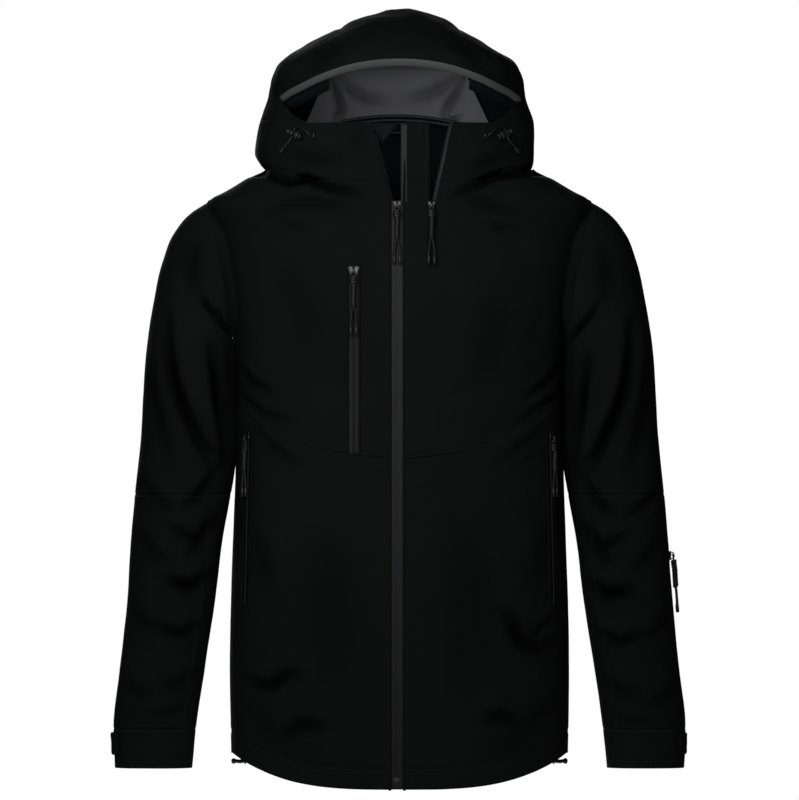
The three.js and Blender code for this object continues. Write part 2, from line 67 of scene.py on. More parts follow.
# Heights count up from the middle of the hem, as a tailor measures; toRow puts a point in the frame.
hangHeight = -cadBox[0][2]  # from the hem up to the hanger loop
hangDepth = 0.128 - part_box("back_panel")[1][1]  # the loop lies this far behind the middle
bodyRows = np.array([  # height, half width, back
    (0, .211, .118), (.163, .2135, .122), (.456, .206, .128), (.560, .208, .126), (.650, .218, .112),
    (.700, .228, .103), (.737, .240, .092), (.743, .2365, .089), (.750, .2225, .086), (.765, .1965, .080),
    (.779, .168, .076)])
sleeveRows = np.array([  # height, inner edge, outer edge, front, back
    (.027, .261, .358, -.048, .040), (.077, .256, .360, -.052, .042), (.152, .245, .352, -.058, .044),
    (.240, .2315, .3425, -.063, .051), (.314, .2225, .338, -.066, .056),
    (.360, .2140, .3340, -.0665, .0605), (.404, .2066, .3295, -.066, .065),
    (.440, .2036, .326, -.066, .068), (.560, .2046, .318, -.064, .074),
    (.575, .203, .316, -.063, .074), (.616, .190, .309, -.062, .074), (.666, .190, .298, -.055, .070),
    (.700, .193, .284, -.046, .059), (.727, .203, .260, -.031, .042), (.742, .216, .236, -.012, .020)])
hoodRows = np.array([  # height, half width, front, back
    (.752, .150, -.1100, .084), (.779, .169, -.1094, .102), (.800, .176, -.108, .114),
    (.838, .172, -.106, .124), (.870, .162, -.118, .128), (.901, .1545, -.150, .122),
    (.915, .1475, -.153, .114), (.935, .114, -.143, .100),
    (.955, .078, -.116, .078), (.971, .051, -.080, .048), (.981, .014, -.045, .010)])
armholeLow, armholeHigh = .566, .742
armholeRows = np.array([(armholeLow, .2095), (armholeHigh, .239)])
bodyRound, sleeveRound = 2.6, 2.2
neckSeam, elbowSeam, cuffSeam, yokeSeam = .765, .372, .077, .620
collarTop, zipOpenFrom, sideSeam = .838, .739, .005
mainZip = {"middle": -.003, "half": .00725, "opens": .026}
neckZip = {"middle": .040, "half": .004, "opens": .023, "bottom": .655}


wearers = {"left": 1, "right": -1}  # the wearer's sides and the sign of x there


def toRow(points):
    return np.asarray(points, float) - (0, hangDepth, hangHeight)


def fromRow(point):
    return np.asarray(point, float) + (0, hangDepth, hangHeight)


def smooth(height, rows, column):
    xs, ys = rows[:, 0], rows[:, column]
    slope = np.gradient(ys, xs)
    steps = np.diff(ys) / np.diff(xs)
    for i in range(1, len(xs) - 1):
        if steps[i - 1] * steps[i] <= 0:
            slope[i] = 0
    h = np.clip(height, xs[0], xs[-1])
    i = np.clip(np.searchsorted(xs, h, side="right") - 1, 0, len(xs) - 2)
    d = xs[i + 1] - xs[i]
    t = (h - xs[i]) / d
    return (ys[i] * (1 + 2 * t) * (1 - t) ** 2 + ys[i + 1] * t * t * (3 - 2 * t)
            + d * (slope[i] * t * (1 - t) ** 2 - slope[i + 1] * t * t * (1 - t)))


def frontLine(height):
    return -.140 + .04 * height


def power(value, exponent):
    return np.sign(value) * np.abs(value) ** exponent


def bodyPoint(angle, height):
    half, back = smooth(height, bodyRows, 1), smooth(height, bodyRows, 2)
    middle, deep = (back + frontLine(height)) / 2, (back - frontLine(height)) / 2
    return np.stack([half * power(np.cos(angle), 2 / bodyRound),
                     middle + deep * power(np.sin(angle), 2 / bodyRound), height], -1)


def sleevePoint(angle, height, side):
    inner, outer, front, back = (smooth(height, sleeveRows, k) for k in (1, 2, 3, 4))
    x = (inner + outer) / 2 + (outer - inner) / 2 * power(np.cos(angle), 2 / sleeveRound)
    y = (front + back) / 2 + (back - front) / 2 * power(np.sin(angle), 2 / sleeveRound)
    return np.stack([side * x, y, height + 0 * x], -1)


def hoodPoint(angle, height):
    half, front, back = (smooth(height, hoodRows, k) for k in (1, 2, 3))
    across = power(np.cos(angle), 2 / bodyRound)
    fade = np.clip((height - .768) / .03, 0, 1) * np.clip((.975 - height) / .05, 0, 1)
    lean = (.003 + .0045 * np.clip((.845 - height) / .04, 0, 1)) * fade
    return np.stack([half * across - lean * across ** 4,
                     (front + back) / 2 + (back - front) / 2 * power(np.sin(angle), 2 / bodyRound),
                     height + 0 * half], -1)


dice = np.random.default_rng(7)
lattice = dice.random((24, 24, 24)) * 2 - 1


def drift(points, size):
    q = points / size
    cell = np.floor(q).astype(int)
    f = q - cell
    f = f * f * (3 - 2 * f)
    total = 0
    for dx in (0, 1):
        for dy in (0, 1):
            for dz in (0, 1):
                weight = (f[..., 0] if dx else 1 - f[..., 0]) * (f[..., 1] if dy else 1 - f[..., 1])
                weight = weight * (f[..., 2] if dz else 1 - f[..., 2])
                at = (cell + (dx, dy, dz)) % 24
                total = total + weight * lattice[at[..., 0], at[..., 1], at[..., 2]]
    return total


def nearPath(x, z, path):
    path = np.asarray(path, float)
    lengths = np.linalg.norm(np.diff(path, axis=0), axis=1)
    starts = np.concatenate([[0], np.cumsum(lengths)])
    best, along = np.full(np.shape(x), 9.0), np.zeros(np.shape(x))
    for k in range(len(path) - 1):
        d = path[k + 1] - path[k]
        t = np.clip(((x - path[k, 0]) * d[0] + (z - path[k, 1]) * d[1]) / (d @ d), 0, 1)
        away = np.hypot(x - path[k, 0] - t * d[0], z - path[k, 1] - t * d[1])
        closer = away < best
        best = np.where(closer, away, best)
        along = np.where(closer, (starts[k] + t * lengths[k]) / starts[-1], along)
    return best, along


def nearFold(x, z, path, ease):  # how far off a fold lies, and how full it is there
    away, along = nearPath(x, z, path)
    return away, np.clip(np.sin(np.pi * np.clip(along * .96 + .02, 0, 1)), 0, 1) ** ease


def creases(x, z, folds):
    depth = np.zeros(np.shape(x))
    for path, width, deep in folds:
        away, taper = nearFold(x, z, path, .6)
        s = away / width
        depth = depth + deep * taper * (1 - .9 * s * s) * np.exp(-s * s / 1.6)
    return depth


def creaseShade(x, z, folds, wide=1.15):
    shade = np.zeros(np.shape(x))
    for path, width, deep in folds:
        away, taper = nearFold(x, z, path, .7)
        shade = np.maximum(shade, min(abs(deep) / .0065, 1) * taper * np.exp(-(away / (width * wide)) ** 2))
    return shade


bodyFolds = [  # seen from the front: line, width, depth
    ([(-.200, .138), (-.162, .132), (-.140, .146), (-.118, .148)], .0085, .0055),
    ([(-.150, .066), (-.122, .084), (-.090, .078)], .0100, .0052),
    ([(.122, .232), (.140, .212), (.152, .188), (.176, .176), (.196, .184)], .0100, .0058),
    ([(.150, .205), (.170, .198), (.196, .218)], .0060, .0032),
    ([(.102, .088), (.130, .094), (.158, .080)], .0095, .0048),
    ([(-.204, .534), (-.186, .512), (-.160, .498)], .0065, .0040),
    ([(-.206, .498), (-.176, .474), (-.132, .462)], .0065, .0030),
    ([(-.186, .455), (-.160, .432), (-.128, .408)], .0070, .0028),
    ([(.205, .536), (.186, .512), (.158, .490)], .0065, .0040),
    ([(.204, .500), (.176, .480), (.148, .462)], .0065, .0036),
    ([(.186, .452), (.160, .436), (.128, .414)], .0070, .0026),
    ([(-.205, .340), (-.180, .300), (-.168, .240)], .014, .0022),
    ([(.205, .350), (.182, .300), (.172, .240)], .014, .0022),
    ([(-.176, .718), (-.140, .735), (-.112, .737), (-.060, .728)], .0080, .0030),
    ([(.150, .722), (.110, .735), (.082, .738)], .0080, .0028),
    ([(-.160, .716), (-.130, .706), (-.104, .704)], .0060, .0020),
    ([(.104, .712), (.128, .704), (.152, .706)], .0060, .0022),
    ([(-.235, .690), (-.222, .640), (-.212, .590)], .012, .0020),
    ([(.235, .690), (.222, .640), (.212, .590)], .012, .0020),
    ([(-.150, .660), (-.120, .600), (-.110, .540)], .020, .0018),
    ([(.140, .620), (.118, .560), (.112, .500)], .020, .0018),
    ([(-.090, .330), (-.085, .230), (-.080, .120)], .026, .0020),
    ([(.085, .350), (.095, .240), (.080, .110)], .026, .0020),
    ([(-.200, .110), (-.150, .060), (-.100, .040)], .014, .0020),
    ([(.200, .120), (.150, .062), (.110, .040)], .014, .0020),
]
sleeveFolds = [  # drawn for the wearer's right, x counted outwards
    ([(.252, .622), (.240, .607), (.226, .590), (.209, .570)], .0042, .0065),
    ([(.294, .600), (.290, .545), (.283, .510), (.272, .481), (.253, .443), (.230, .402)], .0085, .0105),
    ([(.236, .562), (.231, .528), (.227, .490), (.215, .440)], .0085, .0090),
    ([(.216, .560), (.217, .500), (.216, .430), (.222, .380)], .0100, .0040),
    ([(.318, .560), (.313, .500), (.300, .445), (.286, .405)], .010, .0035),
    ([(.262, .455), (.246, .430), (.228, .418)], .006, .0040),
    ([(.226, .400), (.250, .372), (.272, .352)], .008, .0050),
    ([(.330, .392), (.306, .366), (.282, .350)], .008, .0036),
    ([(.222, .345), (.246, .322), (.262, .292)], .010, .0050),
    ([(.290, .330), (.262, .318), (.236, .300)], .007, .0045),
    ([(.334, .330), (.312, .300), (.292, .282)], .010, .0030),
    ([(.232, .272), (.262, .256), (.300, .262)], .009, .0062),
    ([(.345, .232), (.318, .205), (.296, .196)], .010, .0030),
    ([(.244, .208), (.276, .196), (.310, .204)], .008, .0050),
    ([(.250, .150), (.278, .133), (.306, .130)], .009, .0034),
    ([(.352, .140), (.330, .122), (.308, .116)], .009, .0028),
    ([(.262, .104), (.290, .096), (.322, .098)], .006, .0026),
    ([(.256, .700), (.262, .655), (.258, .618)], .012, .0034),
]
hoodFolds = [
    ([(-.150, .800), (-.110, .792), (-.066, .790)], .010, .0026),
    ([(.150, .798), (.112, .790), (.084, .772)], .010, .0026),
    ([(-.120, .900), (-.100, .915), (-.070, .935)], .012, .0024),
    ([(.112, .903), (.088, .925), (.060, .945)], .012, .0024),
    ([(-.060, .800), (-.050, .815), (-.046, .835)], .010, .0016),
    ([(-.165, .850), (-.158, .870), (-.150, .890)], .008, .0020),
    ([(.160, .845), (.155, .866), (.148, .885)], .008, .0020),
]
neckFolds = [  # the hood's lower edge rolls over the shoulders here
    ([(-.196, .7775), (-.168, .7750), (-.139, .7635), (-.116, .7670), (-.088, .7560), (-.046, .7470)],
     .0062, .0085),
    ([(.190, .7775), (.160, .7760), (.128, .7725), (.110, .7665), (.090, .7560), (.066, .7445)],
     .0062, .0085),
]
seamPress = .0011  # a seam draws the cloth in by this much


def seamGroove(x, z, path, deep=seamPress, width=.0032):
    away, _ = nearPath(x, z, path)
    return deep * np.exp(-(away / width) ** 2)


chestSeamSide = [(0, .414), (.077, .425), (.125, .435), (.161, .458), (.192, .484), (.260, .524)]
chestSeam = [(-x, z) for x, z in chestSeamSide[:0:-1]] + chestSeamSide


def chestSeamHeight(x):
    return np.interp(np.abs(x), [p[0] for p in chestSeamSide], [p[1] for p in chestSeamSide])


def hemHeight(x):
    return .0032 + .044 * (np.abs(x) / .211) ** 3.3


def bodyPress(points, front):
    x, z = points[..., 0], points[..., 2]
    inside = np.clip((.2075 - np.abs(x) + np.clip(z - armholeLow, 0, 1)) / .012, 0, 1)
    depth = creases(x, z, bodyFolds) * (1 if front else .75) * inside
    if front:
        depth = depth + seamGroove(x, z, chestSeam)
        for s in (-1, 1):
            depth = depth + seamGroove(x, z, [(s * .101, .740), (s * .232, .740)])
    calm = .12 + .88 * np.clip((.204 - np.abs(x)) / .035, 0, 1)
    if front:
        depth = depth + creases(x, z, neckFolds)
    rumple = .0024 * drift(points, .075) + .0013 * drift(points + 3, .030) + .0006 * drift(points + 7, .012)
    depth = depth + calm * rumple
    depth = depth + .0012 * np.exp(-((z - hemHeight(x) - .026) / .0022) ** 2)
    return depth


def sleeveSide(angle):
    return np.clip(-np.sin(angle) * 1.8, 0, 1), np.clip(np.sin(angle) * 1.8, 0, 1)


def sleeveShift(side):
    return .010 if side > 0 else 0


def sleevePress(points, angle, side):
    x, z = np.abs(points[..., 0]), points[..., 2]
    front, back = sleeveSide(angle)
    depth = creases(x, z + sleeveShift(side), sleeveFolds) * front
    depth = depth + creases(x + .006, z - .018, sleeveFolds) * back * .8
    calm = .15 + .85 * np.abs(np.sin(angle))
    rumple = .0026 * drift(points + 1, .060) + .0012 * drift(points + 5, .026)
    depth = depth + calm * (rumple + .0004 * drift(points + 9, .012))
    for height in (elbowSeam, cuffSeam):
        depth = depth + .0005 * np.exp(-((z - height) / .0022) ** 2)
    return depth


def sleeveShade(points, angle, side):
    x, z = np.abs(points[..., 0]), points[..., 2]
    front, back = sleeveSide(angle)
    return np.maximum(creaseShade(x, z + sleeveShift(side), sleeveFolds) * front,
                      creaseShade(x + .006, z - .018, sleeveFolds) * back)


def hoodPress(points):
    x, y, z = points[..., 0], points[..., 1], points[..., 2]
    front = np.clip((.02 - y) / .05, 0, 1)
    depth = creases(x, z, hoodFolds) * front
    depth = depth + .0018 * drift(points + 2, .070) + .0013 * drift(points + 6, .028)
    depth = depth + .0005 * drift(points + 8, .013)
    depth = depth + seamPress * np.exp(-((np.abs(x) - .075) / .0032) ** 2) * np.clip((y + .11) / .02, 0, 1)
    depth = depth + .0004 * np.exp(-((y + .091) / .0032) ** 2) * np.clip((z - .88) / .02, 0, 1)
    lower = np.clip((.800 - z) / .030, 0, 1) * front
    return depth * (1 - lower) + bodyPress(points, True) * lower


def gridNormals(grid):
    across = np.gradient(grid, axis=1)
    up = np.gradient(grid, axis=0)
    n = np.cross(across, up)
    return n / np.maximum(np.linalg.norm(n, axis=-1, keepdims=True), 1e-9)


def meshFromGrid(name, grid, closed=False, uv=None, crease=None):
    rows, columns = grid.shape[:2]
    mesh = bpy.data.meshes.new(name)
    wide = columns if closed else columns - 1
    faces = [(r * columns + c, r * columns + (c + 1) % columns,
              (r + 1) * columns + (c + 1) % columns, (r + 1) * columns + c)
             for r in range(rows - 1) for c in range(wide)]
    mesh.from_pydata(toRow(grid.reshape(-1, 3)).tolist(), [], faces)
    if uv is None:
        uv = clothUv(grid)
    layer = mesh.uv_layers.new(name="cloth")
    flat = uv.reshape(-1, 2)
    loops = np.zeros(len(mesh.loops), np.int32)
    mesh.loops.foreach_get("vertex_index", loops)
    layer.data.foreach_set("uv", flat[loops].astype(np.float32).ravel())
    if crease is not None:
        mark = mesh.attributes.new("crease", "FLOAT", "POINT")
        mark.data.foreach_set("value", crease.astype(np.float32).ravel())
    mesh.shade_smooth()
    return mesh


def clothUv(grid):
    across = np.linalg.norm(np.diff(grid, axis=1, prepend=grid[:, :1]), axis=-1).mean(0).cumsum()
    up = np.linalg.norm(np.diff(grid, axis=0, prepend=grid[:1]), axis=-1).mean(1).cumsum()
    return np.stack(np.broadcast_arrays(across[None, :], up[:, None]), -1)


def addObject(name, mesh, *materials):
    thing = bpy.data.objects.new(name, mesh)
    bpy.context.scene.collection.objects.link(thing)
    for material in materials:
        thing.data.materials.append(material)
    return thing


# the body a piece moves with and the plain solids it covers
def dress(piece, body, slotName, *nodes):
    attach(piece, body)
    if nodes:
        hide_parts(*nodes)


def thicken(thing, thickness=.0012, inner=0):
    modifier = thing.modifiers.new("thickness", "SOLIDIFY")
    modifier.thickness = thickness
    modifier.offset = -1
    modifier.material_offset = inner
    return thing


def settle(thing):
    bpy.context.view_layer.update()
    held = thing.evaluated_get(bpy.context.evaluated_depsgraph_get())
    mesh = bpy.data.meshes.new_from_object(held)
    thing.modifiers.clear()
    thing.data = mesh
    return thing


def joinMeshes(name, parts):
    points, faces, start = [], [], 0
    for p, f in parts:
        points += [tuple(q) for q in p]
        faces += [tuple(i + start for i in face) for face in f]
        start += len(p)
    mesh = bpy.data.meshes.new(name)
    mesh.from_pydata(points, [], faces)
    mesh.shade_smooth()
    return mesh


def ringFaces(rings, sides):  # quads between closed rings, and a cap at each end
    faces = [(r * sides + c, r * sides + (c + 1) % sides,
              (r + 1) * sides + (c + 1) % sides, (r + 1) * sides + c)
             for r in range(rings - 1) for c in range(sides)]
    return faces + [tuple(range(sides - 1, -1, -1)), tuple(range((rings - 1) * sides, rings * sides))]


def sheetPiece(name, grid, material, thickness, body, slotName, *nodes):  # one layer of cloth
    piece = thicken(addObject(name, meshFromGrid(name, grid), material), thickness)
    dress(piece, body, slotName, *nodes)
    return piece


def solidPiece(name, parts, material, body, slotName, *nodes):  # closed parts joined in one piece
    piece = addObject(name, joinMeshes(name, parts), material)
    dress(piece, body, slotName, *nodes)
    return piece


def runAlong(path):  # the length from the first point to each point
    return np.concatenate([[0], np.cumsum(np.linalg.norm(np.diff(path, axis=0), axis=1))])


def pointsAt(path, at):
    path = np.asarray(path, float)
    run = runAlong(path)
    return np.stack([np.interp(at, run, path[:, k]) for k in range(path.shape[1])], -1)


def tubeAlong(points, radius, sides=8):
    points = np.asarray(points, float)
    tangent = np.gradient(points, axis=0)
    tangent /= np.maximum(np.linalg.norm(tangent, axis=1, keepdims=True), 1e-9)
    side = np.cross(tangent[0], (0.31, 0.2, 0.93) if abs(tangent[0][2]) < .9 else (1, 0, 0))
    rings = []
    radii = np.broadcast_to(radius, len(points))
    for i, t in enumerate(tangent):
        side = side - t * (side @ t)
        side /= np.linalg.norm(side)
        other = np.cross(t, side)
        angles = np.arange(sides) * 2 * math.pi / sides
        turn = np.cos(angles)[:, None] * side + np.sin(angles)[:, None] * other
        rings.append(points[i] + radii[i] * turn)
    verts = np.concatenate(rings)
    return verts, ringFaces(len(points), sides)


def link(tree, source, target):
    tree.links.new(source, target)


def addNode(tree, kind, settings=None, **inputs):
    node = tree.nodes.new(kind)
    for key, value in (settings or {}).items():
        setattr(node, key, value)
    for key, value in inputs.items():
        socket = node.inputs[int(key[1:]) if key[1:].isdigit() else key]  # i0 is the first socket
        if isinstance(value, bpy.types.NodeSocket):
            tree.links.new(value, socket)
        else:
            socket.default_value = value
    return node


def math2(tree, operation, a, b=0.0):
    return addNode(tree, "ShaderNodeMath", {"operation": operation}, i0=a, i1=b).outputs[0]


def newGroup(name, inputs, outputs):
    group = bpy.data.node_groups.new(name, "ShaderNodeTree")
    for label, kind, default in inputs:
        socket = group.interface.new_socket(label, in_out="INPUT", socket_type=kind)
        if default is not None:
            socket.default_value = default
    for label, kind in outputs:
        group.interface.new_socket(label, in_out="OUTPUT", socket_type=kind)
    return group, group.nodes.new("NodeGroupInput"), group.nodes.new("NodeGroupOutput")


def buildPlainWeave():
    group, enter, leave = newGroup("plainWeave", [("Pitch", "NodeSocketFloat", .0006)],
                                   [("Height", "NodeSocketFloat"), ("Mask", "NodeSocketFloat")])
    uv = group.nodes.new("ShaderNodeUVMap")
    uv.uv_map = "cloth"
    split = addNode(group, "ShaderNodeSeparateXYZ", i0=uv.outputs[0])
    turns = math2(group, "DIVIDE", math.pi, enter.outputs["Pitch"])
    warp = math2(group, "SINE", math2(group, "MULTIPLY", split.outputs[0], turns))
    weft = math2(group, "SINE", math2(group, "MULTIPLY", split.outputs[1], turns))
    both = math2(group, "MULTIPLY", warp, weft)
    link(group, math2(group, "ABSOLUTE", both), leave.inputs["Height"])
    link(group, math2(group, "GREATER_THAN", both, 0.0), leave.inputs["Mask"])
    return group


def buildMottle():
    group, enter, leave = newGroup("mottle", [("Amount", "NodeSocketFloat", .2)],
                                   [("Tone", "NodeSocketFloat"), ("Grain", "NodeSocketFloat")])
    place = group.nodes.new("ShaderNodeTexCoord")
    slow = addNode(group, "ShaderNodeTexNoise", Vector=place.outputs["Object"], Scale=9.0, Detail=4.0)
    quick = addNode(group, "ShaderNodeTexNoise", Vector=place.outputs["Object"], Scale=420.0, Detail=2.0)
    both = math2(group, "ADD", math2(group, "MULTIPLY", slow.outputs[0], .6),
                 math2(group, "MULTIPLY", quick.outputs[0], .4))
    swing = math2(group, "MULTIPLY", math2(group, "SUBTRACT", both, .5), enter.outputs["Amount"])
    link(group, math2(group, "ADD", math2(group, "MULTIPLY", swing, 2.0), 1.0), leave.inputs["Tone"])
    link(group, quick.outputs[0], leave.inputs["Grain"])
    return group


def buildEdgeWear():
    group, enter, leave = newGroup("edgeWear", [("Width", "NodeSocketFloat", .55)],
                                   [("Mask", "NodeSocketFloat")])
    shape = group.nodes.new("ShaderNodeNewGeometry")
    place = group.nodes.new("ShaderNodeTexCoord")
    patchy = addNode(group, "ShaderNodeTexNoise", Vector=place.outputs["Object"], Scale=90.0, Detail=3.0)
    raised = addNode(group, "ShaderNodeMapRange", i0=shape.outputs["Pointiness"], i1=enter.outputs["Width"],
                     i2=.70, i3=0.0, i4=1.0)
    link(group, math2(group, "MULTIPLY", raised.outputs[0], patchy.outputs[0]), leave.inputs["Mask"])
    return group


plainWeave, mottle, edgeWear = buildPlainWeave(), buildMottle(), buildEdgeWear()


def mixColors(tree, first, second, factor=1.0, blend="MULTIPLY"):
    node = addNode(tree, "ShaderNodeMix", {"data_type": "RGBA", "blend_type": blend},
                   i0=factor, i6=first, i7=second)
    return node.outputs[2]


def newMaterial(name):
    material = bpy.data.materials.new(name)
    material.use_nodes = True
    tree = material.node_tree
    stain, worn = (addNode(tree, "ShaderNodeGroup", {"node_tree": group}) for group in (mottle, edgeWear))
    return material, tree, stain, worn


def finishSurface(tree, color, grain, rough, specular, height, bump, distance):
    bsdf = tree.nodes["Principled BSDF"]
    link(tree, color, bsdf.inputs["Base Color"])
    spread = addNode(tree, "ShaderNodeMapRange", i0=grain, i3=rough[0], i4=rough[1])
    link(tree, spread.outputs[0], bsdf.inputs["Roughness"])
    bsdf.inputs["Specular IOR Level"].default_value = specular
    raised = addNode(tree, "ShaderNodeBump", Height=height, Strength=bump, Distance=distance)
    link(tree, raised.outputs[0], bsdf.inputs["Normal"])


def clothMaterial(name, color, roughness, pitch=.0006, bump=.12, specular=.12, tone=.25, fade=1.35,
                  shadeAtHem=1.0):
    material, tree, stain, worn = newMaterial(name)
    stain.inputs["Amount"].default_value = tone
    weave = addNode(tree, "ShaderNodeGroup", {"node_tree": plainWeave})
    weave.inputs["Pitch"].default_value = pitch
    fold = addNode(tree, "ShaderNodeAttribute", {"attribute_name": "crease"})
    shade = addNode(tree, "ShaderNodeMapRange", i0=fold.outputs["Fac"], i3=1.0, i4=.06)
    place = addNode(tree, "ShaderNodeTexCoord")
    along = addNode(tree, "ShaderNodeSeparateXYZ", i0=place.outputs["Object"])
    # painted shade: the colour is darkened from the top down to the hem, standing in for light that falls
    # off lower down; shadeAtHem sets the factor at the hem
    paintedLowShade = addNode(tree, "ShaderNodeMapRange", i0=along.outputs[2], i1=-hangHeight, i2=.74 - hangHeight,
                    i3=shadeAtHem, i4=1.0)
    tint = mixColors(tree, (*color, 1), stain.outputs["Tone"])
    for darker in (shade, paintedLowShade):
        tint = mixColors(tree, tint, darker.outputs[0])
    faded = (*(c * fade for c in color), 1)
    tint = mixColors(tree, tint, faded, worn.outputs["Mask"], "MIX")
    height = math2(tree, "ADD", weave.outputs["Height"],
                   math2(tree, "MULTIPLY", stain.outputs["Grain"], .35))
    finishSurface(tree, tint, stain.outputs["Grain"], (roughness - .06, roughness + .06), specular,
                  height, bump, .0003)
    return material


def hardMaterial(name, color, roughness, metallic=0.0, bump=.08, wornColor=None, specular=.4):
    material, tree, stain, worn = newMaterial(name)
    rubbed = (*(wornColor or [c * 2.2 for c in color]), 1)
    tint = mixColors(tree, (*color, 1), rubbed, worn.outputs["Mask"], "MIX")
    finishSurface(tree, tint, stain.outputs["Grain"], (roughness - .08, roughness + .1), specular,
                  stain.outputs["Grain"], bump, .0002)
    tree.nodes["Principled BSDF"].inputs["Metallic"].default_value = metallic
    return material


shellCloth = clothMaterial("shellCloth", (.0056, .0066, .0060), .9, specular=.02)
shellInside = clothMaterial("shellInside", (.0070, .0074, .0080), .9, pitch=.0012, specular=.05)
hoodLiningCloth = clothMaterial("hoodLiningCloth", (.168, .170, .179), .8, pitch=.0014, bump=.2,
                                specular=.1, tone=.15)
facingCloth = clothMaterial("facingCloth", (.0060, .0066, .0088), .8, pitch=.0012, specular=.05)
brimFacing = clothMaterial("brimFacing", (.066, .068, .068), .8, pitch=.0014, specular=.1)
# the zip tape's colour is painted darker towards the hem as painted shade
zipTapeCloth = clothMaterial("zipTapeCloth", (.0245, .0250, .0270), .7, pitch=.0010, bump=.08, specular=.06,
                             tone=.12, shadeAtHem=.42)
pocketTapeCloth = clothMaterial("pocketTapeCloth", (.0150, .0155, .0170), .6, pitch=.0010, bump=.08,
                                specular=.15, tone=.12)
darkTapeCloth = clothMaterial("darkTapeCloth", (.0009, .0010, .0010), .8, pitch=.0010, bump=.08,
                              specular=.05, tone=.12)
zipCoil = hardMaterial("zipCoil", (.0028, .0029, .0032), .5, specular=.2)
pullBraid = clothMaterial("pullBraid", (.0042, .0043, .0050), .45, pitch=.0016, bump=.5, specular=.30,
                          fade=2.0)
sliderMetal = hardMaterial("sliderMetal", (.0040, .0042, .0048), .30, metallic=.2,
                           wornColor=(.035, .035, .038), specular=.55)
lockPlastic = hardMaterial("lockPlastic", (.0034, .0035, .0039), .42, specular=.35)
buttonPlastic = hardMaterial("buttonPlastic", (.020, .021, .023), .45)
stitchThread = clothMaterial("stitchThread", (.008, .0086, .0084), .7, pitch=.0003, specular=.2)
loopWebbing = clothMaterial("loopWebbing", (.03, .031, .034), .75, pitch=.0016, bump=.4)

studioLook = {
    "aim": .490, "away": 17.9, "lens": 640, "floorBelow": .32,
    "boxes": {  # place from the middle of the jacket, size, watts
        "softbox_front": ((-.20, -1.15, .44), .8, 11.2),
        "softbox_high": ((-1.0, -2.4, 2.6), 2.0, 12),
        "softbox_back": ((-.5, 3.0, 1.0), 2.0, 75)},
}


def studio():
    scene = bpy.context.scene
    middle = Vector((0, -hangDepth, studioLook["aim"] - hangHeight))
    lens = bpy.data.cameras.new("camera")
    lens.lens, lens.sensor_width = studioLook["lens"], 36
    lens.clip_end = 60
    camera = bpy.data.objects.new("camera", lens)
    camera.location = middle + Vector((0, -studioLook["away"], 0))
    camera.rotation_euler = (math.pi / 2, 0, 0)
    scene.collection.objects.link(camera)
    scene.camera = camera
    for name, (place, size, strength) in studioLook["boxes"].items():
        light = bpy.data.lights.new(name, "AREA")
        light.shape, light.size, light.energy = "SQUARE", size, strength
        lamp = bpy.data.objects.new(name, light)
        lamp.location = middle + Vector(place)
        lamp.visible_camera = False
        lamp.rotation_euler = (middle - lamp.location).to_track_quat("-Z", "Y").to_euler()
        scene.collection.objects.link(lamp)
    world = bpy.data.worlds.new("studioWhite")
    world.use_nodes = True
    scene.world = world
    tree = world.node_tree
    back = tree.nodes["Background"]
    seen = tree.nodes.new("ShaderNodeLightPath")
    glow = addNode(tree, "ShaderNodeMapRange", i0=seen.outputs["Is Camera Ray"], i3=.085, i4=1.0)
    back.inputs["Color"].default_value = (1, 1, 1, 1)
    tree.links.new(glow.outputs[0], back.inputs["Strength"])
    scene.view_settings.view_transform = "Standard"
    disc = bmesh.new()
    bmesh.ops.create_circle(disc, cap_ends=True, radius=1.5, segments=96)
    mesh = bpy.data.meshes.new("studio_floor")
    disc.to_mesh(mesh)
    paint = bpy.data.materials.new("paleFloor")
    paint.use_nodes = True
    paint.node_tree.nodes["Principled BSDF"].inputs["Base Color"].default_value = (.8, .8, .8, 1)
    floor = addObject("studio_floor", mesh, paint)
    floor.location = (0, 0, cadBox[0][2] - studioLook["floorBelow"])


def softMin(a, b, reach=.010):
    h = np.clip(.5 + (b - a) / (2 * reach), 0, 1)
    return b + (a - b) * h - reach * h * (1 - h)


def faceDepth(x, z, face):
    half, back = smooth(z, bodyRows, 1), smooth(z, bodyRows, 2)
    middle, deep = (back + frontLine(z)) / 2, (back - frontLine(z)) / 2
    inside = np.clip(1 - (np.abs(x) / half) ** bodyRound, 0, 1)
    body = middle + face * deep * inside ** (1 / bodyRound)
    inner, outer, front, rear = (smooth(z, sleeveRows, k) for k in (1, 2, 3, 4))
    wide, centre = (outer - inner) / 2, (outer + inner) / 2
    inside = 1 - (np.abs(np.abs(x) - centre) / wide) ** sleeveRound
    arm = (front + rear) / 2 + face * (rear - front) / 2 * np.clip(inside, 0, 1) ** (1 / sleeveRound)
    arm = np.where((inside > 0) & (z > .562) & (z < .7435), arm, -face * 1.0)
    return face * -softMin(-face * body, -face * arm)


def armholeX(z):
    return np.interp(z, armholeRows[:, 0], armholeRows[:, 1])


def faceRow(z, startX, endSide, face, columns):
    t = np.linspace(0, 1, 240)
    if z <= armholeLow:
        half = smooth(z, bodyRows, 1)
        first = np.arccos(power(np.clip(startX / half, -1, 1), bodyRound / 2))
        last = 0 if endSide > 0 else math.pi
        points = bodyPoint(face * (first + (last - first) * t), z + 0 * t)
    else:
        end = endSide * min(armholeX(z),
                            max(smooth(z, bodyRows, 1), smooth(z, sleeveRows, 2) if z < armholeHigh else 0))
        ease = 1 - (1 - t) ** 2
        x = startX + (end - startX) * ease
        points = np.stack([x, faceDepth(x, z, face), z + 0 * x], -1)
    run = runAlong(points[:, :2])
    at = np.linspace(0, run[-1], columns)
    return np.stack([np.interp(at, run, points[:, k]) for k in range(3)], -1)


